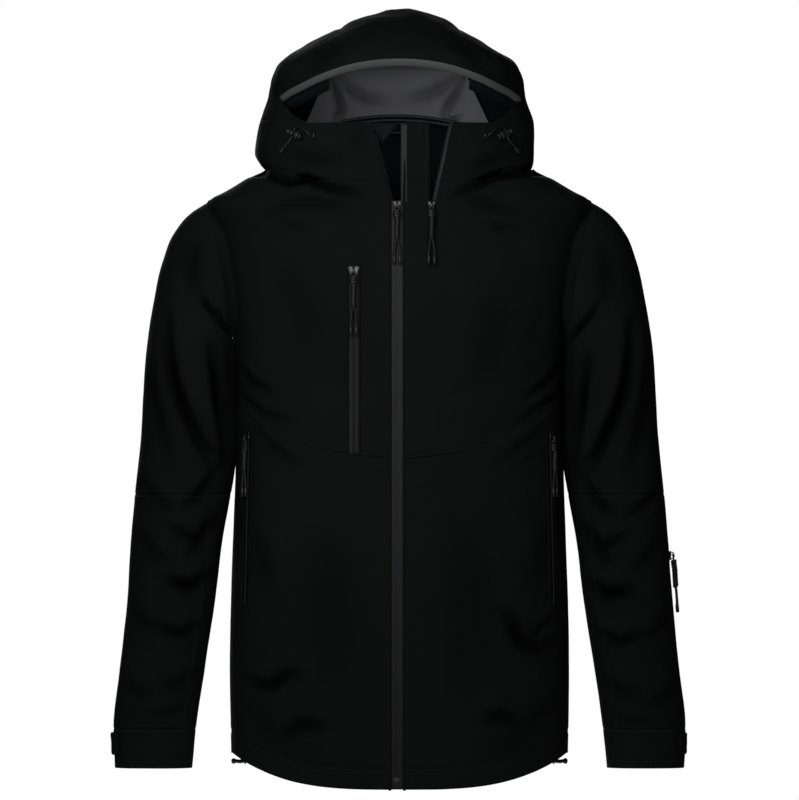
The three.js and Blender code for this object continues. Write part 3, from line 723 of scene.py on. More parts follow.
def zipEdge(z, side):
    up = np.clip((z - zipOpenFrom) / (collarTop + .004 - zipOpenFrom), 0, 1)
    if side > 0:
        return mainZip["middle"] + mainZip["half"] - .0004 + .004 * up
    return mainZip["middle"] - mainZip["half"] + .0004 - mainZip["opens"] * up


def facePanel(side, face, low, high, columns, step=.0034):
    heights = np.arange(-.002, .790, .003)
    if face < 0:
        master = np.stack([faceRow(z, zipEdge(z, side), side, face, columns) for z in heights])
    else:
        rows = []
        for z in heights:
            half = faceRow(z, 0.0, 1, face, columns // 2 + 1)
            rows.append(np.concatenate([(half * (-1, 1, 1))[:0:-1], half]))
        master = np.stack(rows)
    level = master[np.argmin(np.abs(heights - (low(0.0) + high(0.0)) / 2)), :, 0]
    lows, highs = low(level), high(level)
    count = int(max(highs - lows) / step)
    v = np.linspace(0, 1, count)[:, None]
    z = lows[None, :] + (highs - lows)[None, :] * v
    grid = np.empty((*z.shape, 3))
    for c in range(z.shape[1]):
        for k in range(2):
            grid[:, c, k] = np.interp(z[:, c], heights, master[:, c, k])
    grid[..., 2] = z
    normals = gridNormals(grid)
    outward = np.sign((normals[..., 1] * face).mean())
    if outward < 0:
        grid, normals = grid[:, ::-1], -normals[:, ::-1]
    shade = creaseShade(grid[..., 0], grid[..., 2], bodyFolds) * (1 if face < 0 else .7)
    if face < 0:
        shade = np.maximum(shade, creaseShade(grid[..., 0], grid[..., 2], neckFolds))
    return grid - normals * bodyPress(grid, face < 0)[..., None], shade


def cutOut(mesh, outline, behind=-.060):
    shape = bmesh.new()
    shape.from_mesh(mesh)
    corners = [np.array((x, z - hangHeight)) for x, z in outline]
    for k, a in enumerate(corners):
        b = corners[(k + 1) % len(corners)]
        low, high = np.minimum(a, b) - .004, np.maximum(a, b) + .004
        near = [f for f in shape.faces
                if f.calc_center_median().y < behind
                and max(v.co.x for v in f.verts) > low[0] and min(v.co.x for v in f.verts) < high[0]
                and max(v.co.z for v in f.verts) > low[1] and min(v.co.z for v in f.verts) < high[1]]
        d = b - a
        parts = list({v for f in near for v in f.verts}) + list({e for f in near for e in f.edges}) + near
        bmesh.ops.bisect_plane(shape, geom=parts, dist=1e-6, plane_co=(a[0], 0, a[1]),
                               plane_no=(d[1], 0, -d[0]))
    def within(p):
        hit = False
        for k, a in enumerate(corners):
            b = corners[(k + 1) % len(corners)]
            if (a[1] > p.z) != (b[1] > p.z) and p.x < (b[0] - a[0]) * (p.z - a[1]) / (b[1] - a[1]) + a[0]:
                hit = not hit
        return hit
    gone = [f for f in shape.faces if f.calc_center_median().y < behind and within(f.calc_center_median())]
    bmesh.ops.delete(shape, geom=gone, context="FACES")
    shape.to_mesh(mesh)
    shape.free()
    mesh.shade_smooth()


def neckZipOutline():
    m, h = neckZip["middle"], neckZip["half"]
    top = collarTop + .004
    return [(m - h, neckZip["bottom"]), (m + h, neckZip["bottom"]), (m + h, zipOpenFrom),
            (m + h + neckZip["opens"], top), (m - h - .003, top), (m - h, zipOpenFrom)]


def neckLine(x):
    return neckSeam + .0005 + .0145 * np.clip((np.abs(x) - .120) / .03, 0, 1)


def yokeLine(x):
    return yokeSeam + 0 * x


def makeBody():
    for wearer, side in wearers.items():
        lower, shade = facePanel(side, -1, hemHeight, chestSeamHeight, 84)
        piece = thicken(addObject(f"lower_front_cloth_{wearer}", meshFromGrid("lower", lower, crease=shade),
                                  shellCloth, shellInside), inner=1)
        dress(piece, "jacket_shell", "shell", f"front_lower_{wearer}")
        chest, shade = facePanel(side, -1, chestSeamHeight, neckLine, 84)
        mesh = meshFromGrid("chest", chest, crease=shade)
        if side > 0:
            cutOut(mesh, neckZipOutline())
        piece = thicken(addObject(f"chest_cloth_{wearer}", mesh, shellCloth, shellInside), inner=1)
        dress(piece, "jacket_shell", "shell", f"front_chest_{wearer}")
    for name, low, high in (("back_panel", hemHeight, yokeLine), ("back_yoke", yokeLine, neckLine)):
        grid, shade = facePanel(1, 1, low, high, 130)
        piece = thicken(addObject(f"{name}_cloth", meshFromGrid(name, grid, crease=shade), shellCloth,
                                  shellInside), inner=1)
        dress(piece, "jacket_shell", "shell", name)


def sleeveTop(angle):
    low, high = np.full(np.shape(angle), armholeLow + .0005), np.full(np.shape(angle), armholeHigh)
    for _ in range(30):
        middle = (low + high) / 2
        beyond = sleevePoint(angle, middle, 1)[..., 0] > armholeX(middle)
        low, high = np.where(beyond, middle, low), np.where(beyond, high, middle)
    return (low + high) / 2


def sleeveGrid(side, low, high, step=.0032, columns=132):
    angle = np.linspace(0, 2 * math.pi, columns, endpoint=False) - math.pi
    tops = sleeveTop(angle) if high is None else np.full(columns, high)
    count = int((tops.max() - low) / step)
    v = np.linspace(0, 1, count)[:, None]
    z = low + (tops - low)[None, :] * v
    angles = np.broadcast_to(angle[None, :], z.shape)
    grid = sleevePoint(angles, z, side)
    if side < 0:
        grid, angles = grid[:, ::-1], angles[:, ::-1]
    wide = np.concatenate([grid[:, -1:], grid, grid[:, :1]], axis=1)
    normals = gridNormals(wide)[:, 1:-1]
    return grid - normals * sleevePress(grid, angles, side)[..., None], sleeveShade(grid, angles, side)


def swing(piece, wearer, side):
    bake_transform(piece)


def makeShoulderCaps():
    for wearer, side in wearers.items():
        turn, up = np.meshgrid(np.linspace(0, 2 * math.pi, 36, endpoint=False), np.linspace(0, 1.5, 12))
        grid = np.stack([side * .2255 + .0165 * np.cos(turn) * np.cos(up),
                         .004 + .0245 * np.sin(turn) * np.cos(up),
                         .7385 + .0058 * np.sin(up)], -1)
        around, up = np.meshgrid(np.linspace(0, 2 * math.pi, 24, endpoint=False),
                                 np.linspace(-1.5, 1.5, 16))
        pit = np.stack([side * .2068 + .0036 * np.cos(around) * np.cos(up),
                        .004 + .034 * np.sin(around) * np.cos(up),
                        .5625 + .0085 * np.sin(up)], -1)
        under = addObject(f"underarm_corner_{wearer}", meshFromGrid("pit", pit, closed=True), shellCloth)
        dress(under, "jacket_shell", "shell")
        cap = addObject(f"shoulder_cap_{wearer}", meshFromGrid("cap", grid, closed=True), shellCloth)
        dress(cap, "jacket_shell", "shell")


def makeSleeves():
    for wearer, side in wearers.items():
        for part, low, high in (("upper_sleeve", elbowSeam, None), ("forearm", cuffSeam, elbowSeam),
                                ("cuff", .0275, cuffSeam)):
            grid, shade = sleeveGrid(side, low, high)
            mesh = meshFromGrid(part, grid, closed=True, crease=shade)
            piece = thicken(addObject(f"{part}_cloth_{wearer}", mesh, shellCloth, shellInside), inner=1)
            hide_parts(f"{part}_{wearer}")
            if part == "upper_sleeve":
                settle(piece)
                swing(piece, wearer, side)
            else:
                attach(piece, f"{wearer}_sleeve")


faceEdge = [(0, collarTop), (.116, .8375), (.132, .846), (.146, .860), (.152, .871), (.138, .8805),
            (.120, .889), (.104, .8965), (.087, .903), (.070, .9085), (.053, .9125), (.036, .9152),
            (.018, .917), (0, .9175)]


def splitOff(mesh, name, keep):
    shape = bmesh.new()
    shape.from_mesh(mesh)
    bmesh.ops.delete(shape, geom=[f for f in shape.faces if not keep(fromRow(f.calc_center_median()))],
                     context="FACES")
    out = bpy.data.meshes.new(name)
    shape.to_mesh(out)
    shape.free()
    out.shade_smooth()
    return out


def clipBy(mesh, point, normal, drop=True):  # cuts along a plane and can drop what lies beyond it
    shape = bmesh.new()
    shape.from_mesh(mesh)
    everything = shape.verts[:] + shape.edges[:] + shape.faces[:]
    bmesh.ops.bisect_plane(shape, geom=everything, dist=1e-6, plane_co=toRow(point), plane_no=normal,
                           clear_outer=drop)
    shape.to_mesh(mesh)
    shape.free()
    return mesh


def hoodShell(press=True, inset=0.0, low=neckSeam, columns=260):
    angle = np.linspace(0, 2 * math.pi, columns, endpoint=False)
    rise = 1 - (1 - np.linspace(0, 1, 120)) ** 1.6
    z = low - .0012 + (.9805 - low + .0012) * rise
    grid = hoodPoint(angle[None, :] + 0 * z[:, None], z[:, None] + 0 * angle[None, :])
    wide = np.concatenate([grid[:, -1:], grid, grid[:, :1]], axis=1)
    normals = gridNormals(wide)[:, 1:-1]
    amount = inset + (hoodPress(grid) if press else 0 * grid[..., 0])
    shade = creaseShade(grid[..., 0], grid[..., 2], hoodFolds + neckFolds)
    shade = shade * np.clip((.02 - grid[..., 1]) / .05, 0, 1)
    grid = grid - normals * amount[..., None]
    top = grid[-1].mean(0) + (0, 0, .0004)
    grid = np.concatenate([grid, np.broadcast_to(top, (1, columns, 3))])
    mesh = meshFromGrid("hood", grid, closed=True, crease=np.concatenate([shade, np.zeros((1, columns))]))
    return mesh


def makeHood():
    shell = hoodShell()
    cutOut(shell, faceEdge + [(-x, z) for x, z in faceEdge[-2:0:-1]])
    cutOut(shell, [(zipEdge(.739, 1), .700), (zipEdge(.739, 1), zipOpenFrom), (zipEdge(.842, 1), .842),
                   (zipEdge(.842, -1), .842), (zipEdge(.739, -1), zipOpenFrom), (zipEdge(.739, -1), .700)])
    cutOut(shell, neckZipOutline())
    for x in (-.075, .075):
        clipBy(shell, (x, 0, 0), (1, 0, 0), drop=False)
    for y in (-.091, .020):
        clipBy(shell, (0, y, 0), (0, 1, 0), drop=False)
    def isCollar(p):
        return p[1] < .020 and p[2] < .8425
    def isPeak(p):
        return p[1] < -.091 and p[2] > .871
    regions = {
        "collar_cloth_right": ("collar_right", lambda p: isCollar(p) and p[0] < -.003),
        "collar_cloth_left": ("collar_left", lambda p: isCollar(p) and p[0] > .040),
        "collar_placket_cloth": ("collar_placket", lambda p: isCollar(p) and -.003 < p[0] < .040),
        "hood_peak_cloth": ("hood_peak", isPeak),
        "hood_centre_cloth": ("hood_centre",
                              lambda p: not isCollar(p) and not isPeak(p) and abs(p[0]) < .075),
        "hood_side_cloth_left": ("hood_side_left",
                                 lambda p: not isCollar(p) and not isPeak(p) and p[0] > .075),
        "hood_side_cloth_right": ("hood_side_right",
                                  lambda p: not isCollar(p) and not isPeak(p) and p[0] < -.075),
    }
    for name, (node, keep) in regions.items():
        piece = thicken(addObject(name, splitOff(shell, name, keep), shellCloth, facingCloth), inner=1)
        dress(piece, "jacket_shell", "shell", node)


liningFolds = [
    ([(-.088, .906), (-.079, .884), (-.073, .862), (-.080, .842)], .0055, .0050),
    ([(-.088, .906), (-.066, .886), (-.040, .872), (-.010, .868)], .0075, .0032),
    ([(-.083, .846), (-.072, .853), (-.066, .862)], .0035, .0040),
    ([(-.084, .841), (-.074, .845), (-.066, .850)], .0026, .0034),
    ([(.083, .906), (.072, .880), (.060, .858), (.056, .842)], .0060, .0046),
    ([(.083, .906), (.060, .888), (.034, .876), (.006, .870)], .0080, .0032),
    ([(.056, .853), (.063, .846), (.078, .846)], .0035, .0042),
    ([(.060, .840), (.068, .846), (.080, .852)], .0026, .0034),
    ([(-.080, .908), (-.040, .911), (.040, .911), (.080, .908)], .0040, .0030),
]
gussetLines = {-1: [(-.090, .905), (-.122, .832)], 1: [(.083, .905), (.117, .832)]}  # right and left side


def makeLining():
    mesh = hoodShell(press=False, inset=.0034, low=.8400)
    mesh = clipBy(mesh, (0, -.02, 0), (0, -1, 0))
    for side, ((x1, z1), (x2, z2)) in gussetLines.items():
        mesh = clipBy(mesh, (x1, 0, z1), (side * (z1 - z2), 0, (x2 - x1) * side))
    shape = bmesh.new()
    shape.from_mesh(mesh)
    places = fromRow(np.array([v.co for v in shape.verts]))
    depth = creases(places[:, 0], places[:, 2], liningFolds) + .0016 * drift(places + 4, .034)
    for v, d in zip(shape.verts, depth):
        v.co.y -= .0075 - 1.6 * d
    shape.to_mesh(mesh)
    shape.free()
    mark = mesh.attributes.get("crease") or mesh.attributes.new("crease", "FLOAT", "POINT")
    mark.data.foreach_set("value",
                          (.85 * creaseShade(places[:, 0], places[:, 2], liningFolds)).astype(np.float32))
    mesh.shade_smooth()
    piece = thicken(addObject("hood_lining_cloth", mesh, hoodLiningCloth), .0008)
    dress(piece, "jacket_shell", "lining", "hood_lining")
    tapes = []
    for (x1, z1), (x2, z2) in (((-.089, .903), (-.086, .838)), ((.082, .903), (.079, .838))):
        t = np.linspace(0, 1, 30)
        x, z = x1 + (x2 - x1) * t, z1 + (z2 - z1) * t
        tapes.append(tubeAlong(toRow(np.stack([x, hoodFace(x, z, 1) - .0110, z], -1)), .0007, 6))
    solidPiece("hood_lining_seams", tapes, facingCloth, "jacket_shell", "lining")


def hoodFace(x, z, face):  # face is -1 at the front and 1 at the back
    half, front, back = (smooth(z, hoodRows, k) for k in (1, 2, 3))
    inside = np.clip(1 - (np.abs(x) / half) ** bodyRound, 0, 1)
    return (front + back) / 2 + face * (back - front) / 2 * inside ** (1 / bodyRound)


def hoodFront(x, z, inset=0.0):
    return hoodFace(x, z, -1) + inset


def brimEdge(t):
    half = np.array(faceEdge[4:])
    line = np.concatenate([half * (-1, 1), half[-2::-1]])
    return pointsAt(line, t * runAlong(line)[-1]).T


brimLook = {
    "profile": [(0, .0016), (-.0028, .0022), (-.0060, .0046), (-.0092, .0080), (-.0100, .0098),
                (-.0092, .0112)],  # rise from the edge, and depth into the hood
    "roll": .0013, "seam": .00045, "seamUp": .0065}


def makeBrim():
    x, z = brimEdge(np.linspace(0, 1, 140))
    y = hoodFront(x, z)
    grid = np.stack([np.stack([x * (1 - .002 * abs(down) / .01), y + deep, z + down], -1)
                     for down, deep in brimLook["profile"]])
    sheetPiece("brim_facing", grid, brimFacing, .0008, "jacket_shell", "lining")
    parts = [tubeAlong(toRow(np.stack([x, y + .0006, z], -1)), brimLook["roll"], 8)]
    x, z = brimEdge(np.linspace(.03, .97, 120))
    z = z + brimLook["seamUp"]
    parts.append(tubeAlong(toRow(np.stack([x, hoodFront(x, z) - .0001, z], -1)), brimLook["seam"], 6))
    solidPiece("brim_rolled_edge", parts, shellCloth, "jacket_shell", "shell")
    for wearer, side in (("right", -1), ("left", 1)):
        share = np.linspace(0, 1, 26)
        x, z = side * (.149 - .060 * share), .864 + .030 * share
        rows = ((1, .012, 0), (.985, .018, .0060), (.975, .026, .0150))  # width, depth, drop
        grid = np.stack([np.stack([x * wide, hoodFront(x, z, deep), z - drop], -1)
                         for wide, deep, drop in rows])
        sheetPiece(f"brim_inner_band_{wearer}", grid, facingCloth, .0008, "jacket_shell", "lining")


neckTape = {"right": -.074, "left": .076, "middle": -.004, "height": .8445, "wide": .0052, "sag": .0085,
            "piping": .0011}


def makeNeckTape():
    x = np.linspace(neckTape["right"], neckTape["left"], 60)
    parts, rows = [], []
    for lift in (0, neckTape["wide"]):
        z = neckTape["height"] + lift - neckTape["sag"] * ((x - neckTape["middle"]) / .075) ** 2
        y = hoodFace(x, z, 1) - .0150
        parts.append(tubeAlong(toRow(np.stack([x, y, z], -1)), neckTape["piping"], 8))
        rows.append(np.stack([x, y + .0004, z], -1))
    grid = np.stack([rows[0] - (0, 0, .0042), rows[0], rows[1], rows[1] + (0, 0, .002)])
    sheetPiece("neck_tape_cloth", grid, facingCloth, .0009, "jacket_shell", "lining", "neck_tape")
    solidPiece("neck_tape_piping", parts, brimFacing, "jacket_shell", "lining")


def frontY(x, z):
    body = faceDepth(x, z, -1)
    up = np.clip((z - .758) / .012, 0, 1)
    return body * (1 - up) + hoodFront(x, z) * up


def frontPoint(x, z):
    x, z = np.broadcast_arrays(np.asarray(x, float), np.asarray(z, float))
    return np.stack([x, frontY(x, z), z], -1)


def liftedFront(x, z, lift):
    p = frontPoint(x, z)
    e = .0015
    n = np.cross(frontPoint(np.asarray(x) + e, z) - p, frontPoint(x, np.asarray(z) + e) - p)
    n = n / np.linalg.norm(n, axis=-1, keepdims=True)
    n = np.where(n[..., 1:2] > 0, -n, n)
    return p + n * (np.asarray(lift) - bodyPress(p, True))[..., None]


def layBand(name, leftEdge, rightEdge, low, high, profile, material, step=.004, replaced=(),
            slot="zip_tape"):
    z = np.linspace(low, high, max(int((high - low) / step), 3))
    share = np.array([a for a, _ in profile])[None, :]
    lift = np.array([b for _, b in profile])[None, :] + 0 * z[:, None]
    left, right = leftEdge(z)[:, None], rightEdge(z)[:, None]
    grid = liftedFront(left + (right - left) * share, z[:, None] + 0 * share, lift)
    sheetPiece(name, grid, material, .0008, "jacket_shell", slot, *replaced)


def fixed(x):
    return lambda z: x + 0 * z


def makeFrontTapes():
    m, h = mainZip["middle"], mainZip["half"]
    layBand("main_zip_band", fixed(m - h - .001), fixed(m + h + .001), .0035, .7395,
            [(0, -.0012), (.07, -.0009), (.46, -.0006), (.49, -.0010), (.51, -.0010), (.54, -.0006),
             (.93, -.0009), (1, -.0012)],
            zipTapeCloth, replaced=("main_zip_tape",))
    layBand("main_zip_open_tape", fixed(m + .0046), fixed(m + .0125), .737, .8345,
            [(0, -.0028), (.18, -.0018), (.5, -.0010), (.96, .0006), (1, 0)], zipTapeCloth)
    layBand("main_zip_flap_tape", lambda z: zipEdge(z, -1) - .0005, lambda z: zipEdge(z, -1) + .0035,
            .739, .822, [(0, -.0012), (.5, -.0018), (1, -.0034)], facingCloth)
    n, w = neckZip["middle"], neckZip["half"]
    layBand("neck_zip_band", fixed(n - w - .001), fixed(n + w + .001), neckZip["bottom"] - .001, .7395,
            [(0, -.0010), (.46, -.0005), (.5, -.0011), (.54, -.0005), (1, -.0010)], shellCloth,
            replaced=("neck_zip_tape",))
    layBand("neck_zip_left_tape", fixed(n - w - .0040), fixed(n - .0010), .737, .838,
            [(0, .0006), (.08, .0008), (.6, -.0008), (1, -.0022)], facingCloth)
    span = collarTop + .004 - zipOpenFrom
    edge = lambda z: n + w + neckZip["opens"] * np.clip((z - zipOpenFrom) / span, 0, 1)
    layBand("neck_zip_flap_tape", lambda z: edge(z) - .0035, lambda z: edge(z) + .0012, .738, .836,
            [(0, -.0026), (.5, -.0012), (.9, .0004), (1, 0)], pocketTapeCloth)
    for wearer, side in (("right", -1), ("left", 1)):
        edge = m + side * (h + .0019)
        layBand(f"zip_edge_fold_{wearer}", fixed(edge - .0016), fixed(edge + .0016), .002, .7395,
                [(0, -.0003), (.3, .0006), (.7, .0006), (1, -.0003)], shellCloth, slot="shell")
    # a fold of inner collar that leans over behind the opened flap
    corner = np.array([(-.036, .837), (-.001, .8365), (-.022, .811)])
    a, b = np.meshgrid(np.linspace(0, 1, 12), np.linspace(0, 1, 12))
    top = corner[0] + (corner[1] - corner[0]) * a[..., None]
    xz = top + (corner[2] - top) * b[..., None]
    grid = frontPoint(xz[..., 0], xz[..., 1])
    grid[..., 1] += .004 + .006 * a * (1 - b) + .002 * np.sin(a * 3)
    sheetPiece("collar_inner_fold", grid, facingCloth, .001, "jacket_shell", "lining")


def zipPlace(kind, low, high, at, x=None, angle=None):
    def rim(z):
        if kind == "sleeve":
            inner, outer, front, back = (np.interp(z, sleeveRows[:, 0], sleeveRows[:, k])
                                         for k in (1, 2, 3, 4))
            return ((inner + outer) / 2, (outer - inner) / 2, (front + back) / 2, (back - front) / 2,
                    sleeveRound)
        rows = hoodRows if kind == "hood" else bodyRows
        half = np.interp(z, rows[:, 0], rows[:, 1])
        back = np.interp(z, rows[:, 0], rows[:, 3 if kind == "hood" else 2])
        front = np.interp(z, rows[:, 0], rows[:, 2]) if kind == "hood" else frontLine(z)
        return 0, half, (front + back) / 2, (back - front) / 2, bodyRound
    def turn(z):
        if angle is not None:
            return angle
        return -math.acos(float(power(x / rim(z)[1], bodyRound / 2)))
    def point(z, a):
        cx, hx, cy, hy, n = rim(z)
        return np.array([cx + hx * power(math.cos(a), 2 / n), cy + hy * power(math.sin(a), 2 / n), z])
    bottom, top = point(low, turn(low)), point(high, turn(high))
    up = (top - bottom) / np.linalg.norm(top - bottom)
    middle = (low + high) / 2
    along = point(middle, turn(middle) + .02) - point(middle, turn(middle) - .02)
    out = np.cross(along, up)
    out /= np.linalg.norm(out)
    across = np.cross(up, out)
    place = bottom + (top - bottom) * (at - low) / (high - low)
    if kind == "sleeve":
        place = place - out * .0032  # the forearm hollows a little along this zip
    return place, across, up, out


def standAngle(x, z):
    return -math.acos(float(power(x / np.interp(z, bodyRows[:, 0], bodyRows[:, 1]), bodyRound / 2)))


sunkTape = -.0017
sliderBase = .0025  # tape and coil between the cloth and the slider's plate
pullBase = .0043  # from the slider's plate up to the cord in its bridge
zipLook = {  # slider sizes and pulls; "tape" is the width of a pocket's tape
    "main": {"on": "body", "low": .004, "high": .738, "at": .733, "x": -.003, "lift": sunkTape,
             "slider": (.0092, .0125), "pull": .074},
    "neck": {"on": "body", "low": .6555, "high": .738, "at": .733, "x": .040, "lift": -.0009,
             "slider": (.0082, .0115), "pull": .074},
    "chest_pocket": {"on": "body", "low": .422, "high": .659, "at": .650, "x": -.057, "lift": .0006,
                     "slider": (.0135, .0150), "pull": .080, "tape": .0125, "body": "jacket_shell"},
    "sleeve_pocket": {"on": "sleeve", "low": .156, "high": .308, "at": .294, "angle": 0, "lift": .0006,
                      "slider": (.0082, .0115), "pull": .072, "tape": .012, "body": "left_sleeve"},
}
for wearer, side in wearers.items():
    zipLook[f"hand_pocket_{wearer}"] = {
        "on": "body", "low": .231, "high": .452, "at": .440, "angle": standAngle(side * .190, .340),
        "lift": .0006, "slider": (.0082, .0115), "pull": .072, "tape": .012, "body": "jacket_shell"}
for look in zipLook.values():
    look["place"] = zipPlace(look["on"], look["low"], look["high"], look["at"], look.get("x"),
                             look.get("angle"))


def inPlace(points, place, lift=0.0):
    at, across, up, out = place
    points = np.asarray(points, float)
    return toRow(at + points[..., 0:1] * across + points[..., 1:2] * up + (points[..., 2:3] + lift) * out)


def plateParts(outline, low, high, bevel=.0003):
    shape = bmesh.new()
    face = shape.faces.new([shape.verts.new((x, y, low)) for x, y in outline])
    made = bmesh.ops.extrude_face_region(shape, geom=[face])
    for v in [v for v in made["geom"] if isinstance(v, bmesh.types.BMVert)]:
        v.co.z = high
    bmesh.ops.recalc_face_normals(shape, faces=shape.faces[:])
    if bevel:
        bmesh.ops.bevel(shape, geom=shape.edges[:], offset=bevel, segments=2, affect="EDGES", profile=.7)
    shape.verts.index_update()
    points = np.array([v.co for v in shape.verts])
    faces = [tuple(v.index for v in f.verts) for f in shape.faces]
    shape.free()
    return points, faces


def placeParts(parts, place, lift):
    return [(inPlace(p, place, lift), f) for p, f in parts]


def rounded(width, length, n=5, r=None):
    r = r or min(width, length) * .35
    out = []
    for cx, cy, start in ((width / 2 - r, length / 2 - r, 0), (-width / 2 + r, length / 2 - r, 90),
                          (-width / 2 + r, -length / 2 + r, 180), (width / 2 - r, -length / 2 + r, 270)):
        for k in range(n):
            a = math.radians(start + 90 * k / (n - 1))
            out.append((cx + r * math.cos(a), cy + r * math.sin(a)))
    return out


def sliderParts(width, length):
    w, l = width / 2, length / 2
    half = [(w * .55, -l), (w * .68, -l * .3), (w * .95, l * .45), (w, l * .8), (w * .8, l),
            (w * .3, l * .86)]
    plate = [(-x, y) for x, y in half[:1]] + half + [(0, l * .7)] + [(-x, y) for x, y in half[:0:-1]]
    parts = [plateParts(plate, 0, .0011, .0003),
             plateParts([(x * .86, y * .9) for x, y in plate], .0011, .0021, .0003)]
    for side in (-1, 1):
        lip = [(side * w * .50, -l * .95, .0012), (side * w * .66, -l * .3, .0014),
               (side * w * .93, l * .42, .0016), (side * w * .98, l * .78, .0016),
               (side * w * .82, l * .97, .0015)]
        parts.append(tubeAlong(lip, [.0007, .0009, .0011, .0011, .0009], 8))
    arch = [(l * .78, .0016), (l * .74, .0040), (l * .45, .0058), (0, .0062), (-l * .42, .0058),
            (-l * .66, .0042), (-l * .70, .0018)]
    for x in (-.0006, 0, .0006):
        parts.append(tubeAlong([(x, y, z) for y, z in arch], .00075, 8))
    return parts


def ropeParts(line, radius, strands, pitch, offset):
    line = np.asarray(line, float)
    at = np.arange(0, runAlong(line)[-1], pitch / 8)
    core = pointsAt(line, at)
    t = np.gradient(core, axis=0)
    t /= np.linalg.norm(t, axis=1, keepdims=True)
    side = np.cross(t, (0, 0, 1.0))
    side /= np.linalg.norm(side, axis=1, keepdims=True)
    other = np.cross(t, side)
    parts = []
    for k in range(strands):
        a = 2 * math.pi * (at / pitch + k / strands)
        parts.append(tubeAlong(core + offset * (np.cos(a)[:, None] * side + np.sin(a)[:, None] * other),
                               radius, 6))
    return parts


def pullParts(length, splay=.0034):
    loop = [(-.0016, -.0075, .0004), (-.0026, -.0035, .0006), (-.0018, .0000, .0003), (0, .0014, -.0004),
            (.0018, .0000, .0003), (.0026, -.0035, .0006), (.0016, -.0075, .0004)]
    parts = [tubeAlong(loop, .0010, 8)]
    for turns, reach, width, way, thick in ((2.6, .0080, .0040, 1, .0016), (2.2, .0074, .0036, -1, .0015)):
        a = np.linspace(0, 2 * math.pi * turns, 50)
        parts.append(tubeAlong(np.stack([width * np.cos(way * a + .6), -.0060 - reach * a / a[-1],
                                         width * .6 * np.sin(way * a + .6) + .0006], -1), thick, 7))
    stalk = length * .56
    parts += ropeParts([(0, -.0125, .0008), (.0004, -.020, .0010), (-.0004, -.030, .0006),
                        (0, -stalk, .0004)], .00175, 3, .0090, .0021)
    for side in (-1, 1):
        tail = [(side * .0010, -stalk + .001, .0004), (side * .0022, -stalk - .006, .0006),
                (side * (splay + .0005), -length + .013, .0004), (side * splay, -length + .009, .0002)]
        parts += ropeParts(tail, .00105, 2, .0044, .0009)
        tip = [(side * splay, -length + .0115, .0001), (side * splay, -length + .0105, .0001),
               (side * (splay + .0001), -length + .005, 0),
               (side * (splay + .0002), -length + .0008, 0), (side * (splay + .0002), -length, 0)]
        parts.append(tubeAlong(tip, [.0012, .0021, .0023, .0021, .0010], 10))
    return parts


def makeZipHardware():
    for name, look in zipLook.items():
        base = look["lift"] + sliderBase
        parts = placeParts(sliderParts(*look["slider"]), look["place"], base)
        solidPiece(f"{name}_slider_metal", parts, sliderMetal, f"{name}_slider", "dark_metal",
                   f"{name}_zip_slider")
        parts = placeParts(pullParts(look["pull"]), look["place"], base + pullBase)
        solidPiece(f"{name}_pull_cord", parts, pullBraid, f"{name}_pull", "cord", f"{name}_zip_pull")
    place = zipPlace("body", .004, .738, .012, x=-.003)
    base = sunkTape + .0012
    box = [plateParts(rounded(.0112, .0120), 0, .0016, .0004),
           plateParts(rounded(.0070, .0050, r=.0015), .0015, .0021, .0003)]
    solidPiece("main_zip_foot_box", placeParts(box, place, base), sliderMetal, "jacket_shell", "dark_metal",
               "main_zip_box")


def pocketZip(name, look, rim=.0032):
    place, at, low, high, width = (look[key] for key in ("place", "at", "low", "high", "tape"))
    cloth = pocketTapeCloth if name == "chest_pocket" else darkTapeCloth
    t = np.linspace((low - at), (high - at), 60)
    half = [(1, 0), (.92, .0011), (.16, .0012), (.10, .0016), (.03, .0013)]
    across = [(-u, w) for u, w in half] + [(0, .0006)] + half[::-1]
    grid = np.array([[(u * width / 2, v, w) for u, w in across] for v in t])
    flat = inPlace(grid, place, .0003)
    sheetPiece(f"{name}_zip_cloth", fromRow(flat), cloth, .0008, look["body"], "zip_tape",
               f"{name}_zip_tape")
    steps = np.linspace(t[0] + .002, t[-1] - .002, 220)
    coil = [[(x, v, .0013 + .0005 * (k % 2)) for k, v in enumerate(steps)] for x in (-.0009, .0009)]
    solidPiece(f"{name}_zip_coil", placeParts([tubeAlong(c, .00075, 6) for c in coil], place, .0003),
               zipCoil, look["body"], "zip_tape")
    half, tall = width / 2 + rim * .35, (high - low) / 2
    middle = (low + high) / 2 - at
    line = [(-half, middle - tall), (half, middle - tall), (half, middle + tall), (-half, middle + tall),
            (-half, middle - tall)]
    points = []
    for k in range(4):
        a, b = np.array(line[k]), np.array(line[k + 1])
        n = max(int(np.linalg.norm(b - a) / .004), 2)
        points += [a + (b - a) * i / n for i in range(n)]
    points.append(np.array(line[0]))
    path = np.array([(x, y, .0008) for x, y in points])
    path[:, 2] += .0002 * np.sin(np.arange(len(path)) * .9)
    solidPiece(f"{name}_welt", placeParts([tubeAlong(path, .0011, 8)], place, 0), shellCloth, look["body"],
               "shell")


def makePocketZips():
    for name, look in zipLook.items():
        if "tape" in look:
            pocketZip(name, look)


def sleeveOut(angle, z, side, lift):
    e = 1e-3
    p = sleevePoint(angle, z, side)
    n = np.cross(sleevePoint(angle + e, z, side) - p, sleevePoint(angle, z + e, side) - p)
    n = n / np.linalg.norm(n, axis=-1, keepdims=True)
    middle = (smooth(z, sleeveRows, 1) + smooth(z, sleeveRows, 2)) / 2
    outwards = (p[..., 0] - side * middle) * n[..., 0] + p[..., 1] * n[..., 1]
    n = np.where(outwards[..., None] < 0, -n, n)
    press = sleevePress(p, angle, side)
    return p + n * (lift - press)[..., None]


cuffTab = {"front": -.62, "back": 1.40, "low": .0445, "tall": .027, "seamIn": .06}  # angles round the cuff


